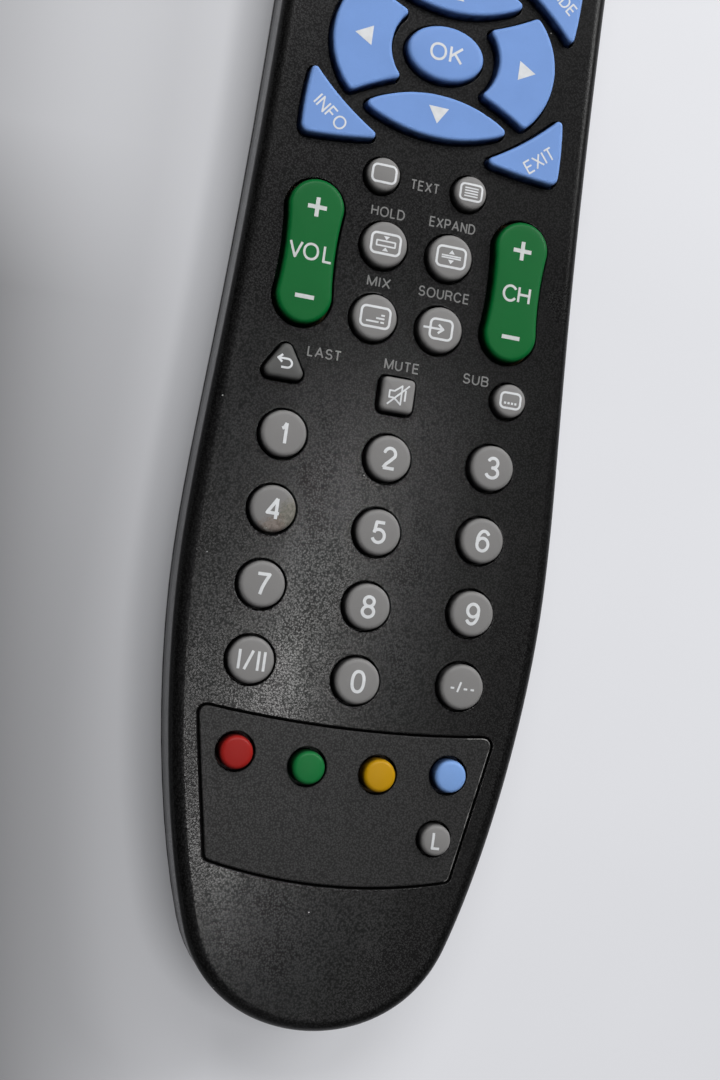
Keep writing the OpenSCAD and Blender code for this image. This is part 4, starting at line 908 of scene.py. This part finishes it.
# Width in cap heights and the middle lines of the strokes in a unit box
SIGNS = {
    "0": (0.58, [oval(0.5, 0.5, 0.5, 0.5, 2.3)]),
    "1": (0.36, [[(0.0, 0.72), (0.35, 0.78), (0.72, 1.0)], [(0.72, 1.0), (0.72, 0.0)]]),
    "2": (0.56, [arc(0.5, 0.71, 0.48, 0.29, 172, -22) + [(0.62, 0.4), (0.25, 0.2), (0.03, 0.0)],
                 [(0.03, 0.0), (1.0, 0.0)]]),
    "3": (0.56, [arc(0.47, 0.755, 0.43, 0.245, 160, -90) + [(0.36, 0.51)],
                 [(0.36, 0.51)] + arc(0.47, 0.255, 0.53, 0.255, 90, -165)]),
    "4": (0.58, [[(0.76, 0.0), (0.76, 1.0)], [(0.76, 1.0), (0.0, 0.28), (1.0, 0.28)]]),
    "5": (0.56, [[(0.92, 1.0), (0.2, 1.0), (0.07, 0.46)], arc(0.47, 0.325, 0.53, 0.325, 148, -160)]),
    "6": (0.56, SIX),
    "7": (0.55, [[(0.0, 1.0), (1.0, 1.0), (0.72, 0.66), (0.5, 0.36), (0.36, 0.0)]]),
    "8": (0.57, [oval(0.5, 0.765, 0.43, 0.235), oval(0.5, 0.265, 0.5, 0.265)]),
    "9": (0.56, [[(1 - x, 1 - y) for x, y in stroke] for stroke in SIX]),
    "A": (0.74, [[(0, 0), (0.5, 1), (1, 0)], [(0.17, 0.33), (0.83, 0.33)]]),
    "B": (0.62, [[(0, 0), (0, 1), (0.55, 1)] + arc(0.55, 0.765, 0.4, 0.235, 90, -90) + [(0, 0.53)],
                 [(0.55, 0.53)] + arc(0.58, 0.265, 0.42, 0.265, 90, -90) + [(0, 0)]]),
    "C": (0.72, [arc(0.52, 0.5, 0.52, 0.5, 35, 325, 32)]),
    "D": (0.67, [[(0, 0), (0, 1), (0.42, 1)] + arc(0.42, 0.5, 0.58, 0.5, 90, -90, 26) + [(0, 0)]]),
    "E": (0.56, [[(1, 1), (0, 1), (0, 0), (1, 0)], [(0, 0.52), (0.92, 0.52)]]),
    "F": (0.52, [[(1, 1), (0, 1), (0, 0)], [(0, 0.5), (0.88, 0.5)]]),
    "G": (0.74, [arc(0.5, 0.5, 0.5, 0.5, 48, 330, 30), [(0.58, 0.46), (1, 0.46), (1, 0.0)]]),
    "H": (0.64, [[(0, 0), (0, 1)], [(1, 0), (1, 1)], [(0, 0.52), (1, 0.52)]]),
    "I": (0.0, [[(0, 0), (0, 1)]]),
    "K": (0.64, [[(0, 0), (0, 1)], [(1, 1), (0, 0.35)], [(0.34, 0.58), (1, 0)]]),
    "L": (0.5, [[(0, 1), (0, 0), (1, 0)]]),
    "M": (0.76, [[(0, 0), (0, 1), (0.5, 0.02), (1, 1), (1, 0)]]),
    "N": (0.64, [[(0, 0), (0, 1), (1, 0), (1, 1)]]),
    "O": (0.78, [oval(0.5, 0.5, 0.5, 0.5, 2.15)]),
    "P": (0.6, [[(0, 0), (0, 1), (0.58, 1)] + arc(0.58, 0.73, 0.42, 0.27, 90, -90) + [(0, 0.46)]]),
    "R": (0.64, [[(0, 0), (0, 1), (0.58, 1)] + arc(0.58, 0.74, 0.4, 0.26, 90, -90) + [(0, 0.48)],
                 [(0.56, 0.48), (0.86, 0.36), (0.96, 0.0)]]),
    "S": (0.61, [arc(0.5, 0.74, 0.44, 0.26, 22, 262) + arc(0.5, 0.26, 0.5, 0.26, 82, -160)]),
    "T": (0.6, [[(0, 1), (1, 1)], [(0.5, 1), (0.5, 0)]]),
    "U": (0.63, [[(0, 1), (0, 0.36)] + arc(0.5, 0.36, 0.5, 0.36, 180, 360) + [(1, 1)]]),
    "V": (0.68, [[(0, 1), (0.5, 0), (1, 1)]]),
    "X": (0.66, [[(0, 0), (1, 1)], [(0, 1), (1, 0)]]),
    "+": (0.6, [[(0, 0.5), (1, 0.5)], [(0.5, 0.2), (0.5, 0.8)]]),
    "-": (0.5, [[(0, 0.36), (1, 0.36)]]),
    "/": (0.42, [[(0, 0), (1, 1)]]),
}


def word(text, width, height, weight, gap=0.09):
    """Strokes of a word about its middle, as (points, width); gap is one value, or one for each letter."""
    lines, x = [], 0.0
    w = weight / height
    gaps = gap if isinstance(gap, tuple) else (gap,) * len(text)
    for sign, space in zip(text, gaps):
        wide, strokes = SIGNS[sign]
        span = max(wide - w, 0.0)
        lines += [[(x + w / 2 + px * span, w / 2 + py * (1 - w)) for px, py in s] for s in strokes]
        x += span + w + space
    natural = x - gaps[-1]
    fit = width / natural
    return [([((px - natural / 2) * fit, (py - 0.5) * height) for px, py in line], weight)
            for line in lines]


def turned(strokes, angle=0.0, by=(0.0, 0.0)):
    """Strokes turned by an angle in degrees, then moved."""
    c, s = math.cos(math.radians(angle)), math.sin(math.radians(angle))
    return [([(c * x - s * y + by[0], s * x + c * y + by[1]) for x, y in line], weight)
            for line, weight in strokes]


def split(line, longest=0.5):
    """A line with points no further apart than longest."""
    out = [flat(*line[0])]
    for a, b in zip(line, line[1:]):
        a, b = flat(*a), flat(*b)
        parts = max(1, math.ceil((b - a).length / longest))
        out += [a.lerp(b, k / parts) for k in range(1, parts + 1)]
    return out


def stroke_faces(strokes):
    """Small plane polygons that together cover the strokes; a width of 0 means a filled shape."""
    polygons = []
    for line, weight in strokes:
        if not weight:
            polygons.append([flat(*p) for p in line])
            continue
        points = split(line)
        half = weight / 2
        for a, b in zip(points, points[1:]):
            if (b - a).length < 1e-6:
                continue
            along = (b - a).normalized()
            side = flat(-along.y, along.x) * half
            polygons.append([a - side, b - side, b + side, a + side])
        closed = (points[0] - points[-1]).length < 1e-6
        for p in points[0 if closed else 1:-1]:
            polygons.append(circle(p, half, 12))
    return polygons


def inside_any(middles, polygons):
    """Which of the points lie in at least one of the convex polygons."""
    found = np.zeros(len(middles), bool)
    for polygon in polygons:
        corners = np.array(polygon)
        edges = np.roll(corners, -1, 0) - corners
        way = middles[:, None, :] - corners[None]
        turn = edges[:, 0] * way[..., 1] - edges[:, 1] * way[..., 0]
        found |= (turn > -1e-7).all(1) | (turn < 1e-7).all(1)
    return found


FILL_STEP = 0.37
PRINT_RAISED = 0.016
PRINT_SUNK = 0.02


def print_piece(name, body, strokes, material, height_at):
    """The strokes as one thin closed solid that lies on a surface."""
    polygons = stroke_faces(strokes)
    points, faces = [], []
    for polygon in polygons:
        faces.append(list(range(len(points), len(points) + len(polygon))))
        points += polygon
    for line, weight in strokes:
        if not weight:
            xs, ys = [p[0] for p in line], [p[1] for p in line]
            points += [flat(min(xs) + FILL_STEP * i, min(ys) + FILL_STEP * k)
                       for i in range(1, int((max(xs) - min(xs)) / FILL_STEP) + 1)
                       for k in range(1, int((max(ys) - min(ys)) / FILL_STEP) + 1)]
    verts, _, tris, *_ = delaunay_2d_cdt(points, [], faces, 0, 1e-5)
    flat_verts = np.array(verts)
    kept = inside_any(flat_verts[np.array(tris)].mean(1), polygons)
    tris = [tri for tri, inside in zip(tris, kept) if inside]
    skin = Skin()
    top = [skin.point(v.x, v.y, height_at(v) + PRINT_RAISED) for v in verts]
    bottom = [skin.point(v.x, v.y, height_at(v) - PRINT_SUNK) for v in verts]
    count = {}
    for tri in tris:
        skin.faces.append([top[i] for i in tri])
        skin.faces.append([bottom[i] for i in reversed(tri)])
        for a, b in zip(tri, list(tri[1:]) + list(tri[:1])):
            count.setdefault(frozenset((a, b)), []).append((a, b))
    for sides in count.values():
        if len(sides) == 1:
            a, b = sides[0]
            skin.faces.append((top[b], top[a], bottom[a], bottom[b]))
    used = sorted({i for f in skin.faces for i in f})
    renumber = {old: new for new, old in enumerate(used)}
    skin.points = [skin.points[i] for i in used]
    skin.edge, skin.deep = [0.0] * len(used), [0.0] * len(used)
    skin.faces = [[renumber[i] for i in f] for f in skin.faces]
    skin.make(name, body, material, weighted=False)


def on_key(name):
    """Height of a key's top at a point."""
    if name in FLAT_KEYS:
        return lambda p: KEY_TOP - PRESS_ROOM
    loop = grow(KEY_LOOPS[name], -KEY_DRAFT - KEY_EDGE)
    middle = sum(KEY_LOOPS[name], flat(0, 0)) / len(loop)
    rim = sorted((math.atan2(*(p - middle).yx), (p - middle).length) for p in loop)
    turns, reach = zip(*rim)

    def height(p):
        way = p - middle
        share = way.length / np.interp(math.atan2(way.y, way.x), turns, reach, period=2 * math.pi)
        return KEY_TOP - PRESS_ROOM - KEY_CROWN * share * share

    return height


def on_face(_):
    """Height of the housing's face."""
    return FACE


def frame_sign(w=4.8, h=3.25, r=0.75, weight=0.38):
    """Rounded frame of a screen sign."""
    loop = shaped([(w / 2, -h / 2, r, 0, 0), (w / 2, h / 2, r, 0, 0), (-w / 2, h / 2, r, 0, 0),
                   (-w / 2, -h / 2, r, 0, 0)], 5)
    points = [(p.x, p.y) for p in loop]
    return [(points + points[:1], weight)]


def bar(x0, y0, x1, y1, weight=0.34):
    """One straight stroke."""
    return [([(x0, y0), (x1, y1)], weight)]


def wedge(x, y, w, h):
    """Filled triangle with its base at y - h / 2 and its tip at y + h / 2."""
    return [([(x - w / 2, y - h / 2), (x + w / 2, y - h / 2), (x, y + h / 2)], 0)]


def plus(y, size=3.1, weight=0.66):
    return bar(-size / 2, y, size / 2, y, weight) + bar(0, y - size / 2, 0, y + size / 2, weight)


def minus(y, size=3.1, weight=0.66):
    return bar(-size / 2, y, size / 2, y, weight)


ROCKER_ENDS = plus(7.2) + minus(-7.2)
KEY_SIGNS = {
    "key_ok": word("OK", 5.75, 2.9, 0.4),
    "key_left": turned(wedge(0, 0, 3.2, 2.9), 90, (-14.0, 0)),
    "key_right": turned(wedge(0, 0, 3.2, 2.9), -90, (14.0, 0)),
    "key_up": turned(wedge(0, 0, 3.4, 2.7), 0, (0, 10.3)),
    "key_down": turned(wedge(0, 0, 3.4, 2.7), 180, (0, -10.3)),
    "key_info": turned(word("INFO", 6.3, 2.25, 0.28), -38, (-17.5, -13.7)),
    "key_exit": turned(word("EXIT", 5.7, 2.25, 0.28), 40, (18.2, -13.9)),
    "key_menu": turned(word("MENU", 6.6, 2.15, 0.28), 38, (-17.5, 13.7)),
    "key_guide": turned(word("GUIDE", 7.0, 2.1, 0.28), -38, (17.9, 13.7)),
    "rocker_volume": turned(word("VOL", 7.3, 2.8, 0.38, (0.0, 0.17, 0.0)) + ROCKER_ENDS, by=(0, -0.2)),
    "rocker_channel": turned(word("CH", 4.95, 2.85, 0.4, (-0.01, 0.0)) + ROCKER_ENDS, by=(0, -0.45)),
    "key_dual": word("I/II", 4.5, 3.5, 0.44, 0.12),
    "key_two_digit": word("-/--", 4.3, 2.0, 0.32, 0.16),
    "key_learn": word("L", 1.7, 2.9, 0.42),
    "key_page_off": frame_sign(3.9, 2.75, 0.75, 0.36),
    "key_page_on": frame_sign(3.65, 2.6, 0.6, 0.34)
    + sum((bar(-1.15, y, 1.15, y, 0.22) for y in (-0.66, -0.22, 0.22, 0.66)), []),
    "key_hold": frame_sign() + frame_sign(3.1, 0.8, 0.05, 0.26) + wedge(0, -0.9, 1.0, 0.6)
    + turned(wedge(0, -0.9, 1.0, 0.6), 180),
    "key_expand": frame_sign() + bar(-1.65, 0.17, 1.65, 0.17, 0.24) + bar(-1.65, -0.17, 1.65, -0.17, 0.24)
    + wedge(0, 0.82, 1.0, 0.66) + turned(wedge(0, 0.82, 1.0, 0.66), 180),
    "key_mix": frame_sign() + bar(-1.5, -0.75, 0.6, -0.75, 0.28) + bar(0.1, -0.15, 1.5, -0.15, 0.28)
    + bar(0.9, -0.75, 1.5, -0.75, 0.28) + bar(0.9, 0.4, 1.5, 0.4, 0.28),
    "key_source": frame_sign(3.7, 3.2) + bar(-3.0, 0, 0.2, 0)
    + [([(-0.5, 0.7), (0.35, 0), (-0.5, -0.7)], 0.36)],
    "key_last": [(arc(0.3, -0.45, 0.75, 0.7, -90, 90) + [(-1.2, 0.25)], 0.34),
                 ([(-0.6, -1.15), (0.3, -1.15)], 0.34),
                 ([(-0.55, 0.85), (-1.25, 0.25), (-0.55, -0.35)], 0.34)],
    "key_mute": [([(-1.5, -0.55), (-0.7, -0.55), (0.5, -1.5), (0.5, 1.5), (-0.7, 0.55), (-1.5, 0.55),
                   (-1.5, -0.55)], 0.27),
                 ([(-1.7, -1.7), (1.7, 1.7)], 0.27), ([(1.15, -0.9), (1.15, 0.9)], 0.3)],
    "key_subtitle": frame_sign(3.4, 2.5, 0.7, 0.36)
    + sum((bar(x, -0.45, x + 0.36, -0.45, 0.36) for x in (-1.1, -0.5, 0.1, 0.7)), []),
    "key_power": [(arc(0, 0, 1.35, 1.35, 118, 422, 30), 0.4), ([(0, 0.5), (0, 1.9)], 0.4)],
}
for number, key in enumerate(DIGITS[:9], 1):
    KEY_SIGNS[key] = word(str(number), 1.5 if number == 1 else 2.5, 3.75, 0.52)
KEY_SIGNS["key_0"] = word("0", 2.5, 3.75, 0.52)
for number in range(1, 5):
    wide = 2.4 * (0.36 if number == 1 else 0.57)
    KEY_SIGNS["key_device_%d" % number] = word(str(number), wide, 2.4, 0.36)

for key, strokes in KEY_SIGNS.items():
    at = NAV if key in NAV_OUTLINES else middle_of(key)
    ink = ROCKER_INK if key in ROCKERS else KEY_INK
    print_piece("print_" + key, key, turned(strokes, 0, at), ink, on_key(key))

# Words on the face: their middle and their width
FACE_WORDS = [("TEXT", 0, 26.6, 4.9), ("HOLD", -5.5, 21.2, 5.7), ("EXPAND", 5.5, 21.3, 7.9),
              ("MIX", -5.4, 9.8, 4.0), ("SOURCE", 5.7, 9.8, 8.75), ("LAST", -12.6, -3.2, 5.6),
              ("MUTE", 0.35, -3.0, 5.9), ("SUB", 13.1, -3.0, 4.5)]
face_strokes = []
for text, x, y, wide in FACE_WORDS:
    face_strokes += turned(word(text, wide, 1.68, 0.23, 0.11), by=(x, y))
print_piece("print_face", "housing", face_strokes, FACE_INK, on_face)


# CAD nodes that keep their solids

def smooth_group():
    """Joins split points and shades by angle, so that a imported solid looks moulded."""
    tree = bpy.data.node_groups.new("joined_and_smooth", "GeometryNodeTree")
    tree.interface.new_socket("Geometry", in_out="INPUT", socket_type="NodeSocketGeometry")
    tree.interface.new_socket("Geometry", in_out="OUTPUT", socket_type="NodeSocketGeometry")
    start, end = tree.nodes.new("NodeGroupInput"), tree.nodes.new("NodeGroupOutput")
    merge = tree.nodes.new("GeometryNodeMergeByDistance")
    merge.inputs["Distance"].default_value = 0.000002
    angle = tree.nodes.new("GeometryNodeInputMeshEdgeAngle")
    sharp = tree.nodes.new("FunctionNodeCompare")
    sharp.data_type, sharp.operation = "FLOAT", "LESS_THAN"
    sharp.inputs[1].default_value = math.radians(28)
    every = tree.nodes.new("GeometryNodeSetShadeSmooth")
    by_edge = tree.nodes.new("GeometryNodeSetShadeSmooth")
    by_edge.domain = "EDGE"
    tree.links.new(start.outputs[0], merge.inputs[0])
    tree.links.new(merge.outputs[0], every.inputs[0])
    tree.links.new(every.outputs[0], by_edge.inputs[0])
    tree.links.new(angle.outputs[0], sharp.inputs[0])
    tree.links.new(sharp.outputs[0], by_edge.inputs["Shade Smooth"])
    tree.links.new(by_edge.outputs[0], end.inputs[0])
    return tree


SMOOTH = smooth_group()


def dress(node, material, bevel=0.0):
    """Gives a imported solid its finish, smooth shading and, where asked, softened edges."""
    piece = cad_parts[node]
    piece.data.materials.clear()
    piece.data.materials.append(material)
    joined = piece.modifiers.new("joined", "NODES")
    joined.node_group = SMOOTH
    if bevel:
        soft = piece.modifiers.new("soft_edge", "BEVEL")
        soft.width, soft.segments, soft.limit_method = bevel * MM, 2, "ANGLE"
        soft.angle_limit = math.radians(40)
        soft.use_clamp_overlap = True
    even = piece.modifiers.new("even_normals", "WEIGHTED_NORMAL")
    even.keep_sharp = True


def simple(name, colour, rough, metallic=0.0, cloud=6.0, variation=0.12, grain=0.3, depth=0.004):
    """Plain finish with cloudy tone, uneven gloss and a faint grain."""
    material, tree, shader = new_material(name)
    marks = use(tree, MARKS, Cloud=cloud, Specks=0.0)
    skin = use(tree, GRAIN, Size=grain, Roundness=0.3)
    cloudy = ramp(tree, marks["Cloud"], 0.3, 0.7)
    tone = mix_colour(tree, cloudy, scaled(colour, 1 - variation), scaled(colour, 1 + variation))
    tone = mix_colour(tree, times(tree, skin["Tone"], 0.3), tone, scaled(colour, 0.8))
    tree.links.new(tone, shader.inputs["Base Color"])
    gloss = ramp(tree, marks["Rubbed"], 0.0, 1.0, rough, max(rough - 0.12, 0.05))
    tree.links.new(gloss, shader.inputs["Roughness"])
    shader.inputs["Metallic"].default_value = metallic
    bumped(tree, shader, skin["Height"], depth)
    return material


CONTACT = simple("contact_nickel", linear(196, 196, 194), 0.3, 1.0, 3.0)
SCREW = simple("screw_zinc", linear(168, 170, 172), 0.34, 1.0, 1.5)
BOARD = simple("board_laminate", linear(120, 96, 52), 0.55, 0.0, 9.0, 0.15)
MAT = simple("mat_silicone", linear(70, 71, 73), 0.62, 0.0, 12.0)
CHIP = simple("chip_epoxy", linear(30, 30, 32), 0.5)
RESONATOR = simple("resonator_resin", linear(176, 98, 34), 0.4)
CAN = simple("capacitor_sleeve", linear(40, 50, 82), 0.35)
EMITTER = simple("emitter_resin", linear(44, 36, 66), 0.12)
LAMP = simple("lamp_resin", linear(120, 22, 20), 0.15)
WINDOW = simple("window_dark_red", linear(26, 9, 12), 0.08, 0.0, 20.0, 0.1, 0.6, 0.001)


def cell_sleeve(node, plus_side):
    """Plain printed sleeve with a light band near the plus end and bare metal at both ends."""
    material, tree, shader = new_material("cell_sleeve_" + node)
    low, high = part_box(node)
    plus_end = high.y if plus_side > 0 else low.y
    along = axes(tree, place_of(tree))["Y"]
    away = math_of(tree, "ABSOLUTE", math_of(tree, "SUBTRACT", along, plus_end))
    marks = use(tree, MARKS, Cloud=8.0, Specks=0.002)
    cloud = ramp(tree, marks["Cloud"], 0.3, 0.7)
    tone = mix_colour(tree, cloud, linear(44, 78, 92), linear(52, 90, 104))
    band = times(tree, ramp(tree, away, 8.0 * MM, 8.1 * MM), ramp(tree, away, 12.0 * MM, 11.9 * MM))
    tone = mix_colour(tree, band, tone, linear(206, 206, 202))
    scuffs = times(tree, marks["Rubbed"], 0.25)
    tone = mix_colour(tree, scuffs, tone, linear(150, 152, 152))
    far_end = (high.y - low.y) - 0.5 * MM
    bare_nub = ramp(tree, away, 1.8 * MM, 1.7 * MM)
    bare_foot = ramp(tree, away, far_end, far_end + 0.1 * MM)
    bare = math_of(tree, "ADD", bare_nub, bare_foot, True)
    tone = mix_colour(tree, bare, tone, linear(190, 190, 186))
    tree.links.new(tone, shader.inputs["Base Color"])
    tree.links.new(bare, shader.inputs["Metallic"])
    tree.links.new(ramp(tree, marks["Rubbed"], 0.0, 1.0, 0.26, 0.4), shader.inputs["Roughness"])
    bumped(tree, shader, marks["Cloud"], 0.02)
    return material


dress("bottom_shell", BACK)
dress("battery_door", BACK, 0.12)
dress("ir_window", WINDOW)
dress("keypad_mat", MAT)
dress("circuit_board", BOARD)
dress("ir_emitters", EMITTER)
dress("indicator_lamp", LAMP)
dress("controller_chip", CHIP)
dress("resonator", RESONATOR)
dress("capacitor", CAN)
dress("battery_right", cell_sleeve("battery_right", 1))
dress("battery_left", cell_sleeve("battery_left", -1))
for contact in ("contact_spring", "contact_plate", "contact_bridge"):
    dress(contact, CONTACT)
dress("case_screws", SCREW, 0.08)


# Floor, light and camera

FLOOR_HALF = 5.0
FLOOR_Z = -0.0001
FLOOR_GLOW = 0.42
FLOOR_GLOW_IN_GLOSS = 0.2
CONTACT_SHADE_REACH = 0.009


def dim_patch(tree, place):
    """Painted soft shadow on the floor at the left of the remote, faded out on all sides."""
    axis = axes(tree, place)
    slant = math_of(tree, "ADD", axis["X"], times(tree, axis["Y"], 0.13))
    near = ramp(tree, slant, -0.066, -0.027, 1.0, 0.0)
    near = times(tree, near, ramp(tree, slant, -0.17, -0.07))
    for fade in ((0.002, 0.03, 1.0, 0.58), (0.06, 0.16, 1.0, 0.0), (-0.25, -0.13, 0.0, 1.0)):
        near = times(tree, near, ramp(tree, axis["Y"], *fade))
    return near


def pale_floor():
    """Plain table top, which keeps the shadow and looks pale to the camera; a soft shadow at the left and a
    contact shade are painted into its colour.
    """
    mesh = bpy.data.meshes.new("pale_floor")
    corners = [(x * FLOOR_HALF, y * FLOOR_HALF, FLOOR_Z) for x, y in ((-1, -1), (1, -1), (1, 1), (-1, 1))]
    mesh.from_pydata(corners, [], [(0, 1, 2, 3)])
    floor = bpy.data.objects.new("pale_floor", mesh)
    scene.collection.objects.link(floor)
    material, tree, shader = new_material("pale_table")
    place = place_of(tree)
    cloud = ramp(tree, noise(tree, place, 9.0, 3.0), 0.3, 0.7)
    tone = mix_colour(tree, cloud, linear(217, 218, 222), linear(222, 223, 227))
    # Painted shadow: the floor's colour is darker in a soft patch at the left of the remote.
    tone = mix_colour(tree, dim_patch(tree, place), tone, linear(124, 124, 126))
    tree.links.new(tone, shader.inputs["Base Color"])
    shader.inputs["Roughness"].default_value = 0.6
    # Painted contact shade: ambient occlusion darkens the glow colour close to the remote.
    contact = put(tree, "ShaderNodeAmbientOcclusion", Color=tone, Distance=CONTACT_SHADE_REACH)
    glow = put(tree, "ShaderNodeEmission", Color=contact.outputs["Color"], Strength=1.0)
    rays = put(tree, "ShaderNodeLightPath").outputs
    seen = math_of(tree, "ADD", times(tree, rays["Is Camera Ray"], FLOOR_GLOW),
                   times(tree, rays["Is Glossy Ray"], FLOOR_GLOW_IN_GLOSS), True)
    blend = put(tree, "ShaderNodeMixShader")
    for socket, value in zip(blend.inputs, (seen, shader.outputs[0], glow.outputs[0])):
        tree.links.new(value, socket)
    tree.links.new(blend.outputs[0], tree.nodes["Material Output"].inputs["Surface"])
    mesh.materials.append(material)


pale_floor()


def soft_light(name, place, aim, size, watts, colour=(1, 1, 1)):
    """Oval area lamp that looks at a point."""
    light = bpy.data.lights.new(name, "AREA")
    light.shape, light.size, light.size_y = "ELLIPSE", size[0], size[1]
    light.energy, light.color = watts, colour
    lamp = bpy.data.objects.new(name, light)
    lamp.location = place
    lamp.rotation_euler = (Vector(aim) - Vector(place)).to_track_quat("-Z", "Y").to_euler()
    scene.collection.objects.link(lamp)


soft_light("ceiling_strip", (0.24, -0.11, 1.2), (-0.012, -0.045, 0.02), (0.62, 0.04), 1.5, (1.0, 0.99, 0.97))
soft_light("rear_panel", (-0.1, 0.85, 1.05), (0.0, 0.0, 0.0), (0.9, 0.5), 10.5)
soft_light("rear_right_panel", (0.68, 0.6, 0.66), (0.0, 0.0, 0.0), (0.6, 0.4), 8.0)


def surroundings():
    """Soft room: dim at the left, brightest overhead, darker again at the right."""
    world = bpy.data.worlds.new("soft_room")
    scene.world = world
    world.use_nodes = True
    tree = world.node_tree
    back = tree.nodes["Background"]
    across = axes(tree, put(tree, "ShaderNodeTexCoord").outputs["Generated"])["X"]
    level = ramp(tree, across, -0.8, 0.2, 0.05, 0.68)
    level = times(tree, level, ramp(tree, across, 0.2, 0.4, 1.0, 0.3))
    tone = put(tree, "ShaderNodeCombineColor", Red=level, Green=level, Blue=times(tree, level, 1.04))
    tree.links.new(tone.outputs[0], back.inputs["Color"])
    back.inputs["Strength"].default_value = 0.5


surroundings()


def photo_camera():
    """Camera at the picture's place and turn, which were solved from the key centres."""
    data = bpy.data.cameras.new("photo_camera")
    data.lens, data.sensor_width = 50, 36
    data.clip_start, data.clip_end = 0.01, 10
    camera = bpy.data.objects.new("photo_camera", data)
    right = Vector((0.95804615, 0.14020484, 0.24998035))
    up = -Vector((0.14629054, -0.98922445, -0.00583659))
    back = -Vector((0.24646836, 0.04216148, -0.96823332))
    turn = Matrix((right, up, back)).transposed().to_4x4()
    camera.matrix_world = Matrix.Translation(Vector((-61.807, -41.922, 254.037)) * MM) @ turn
    scene.collection.objects.link(camera)
    scene.camera = camera


photo_camera()
scene.view_settings.view_transform = "Standard"
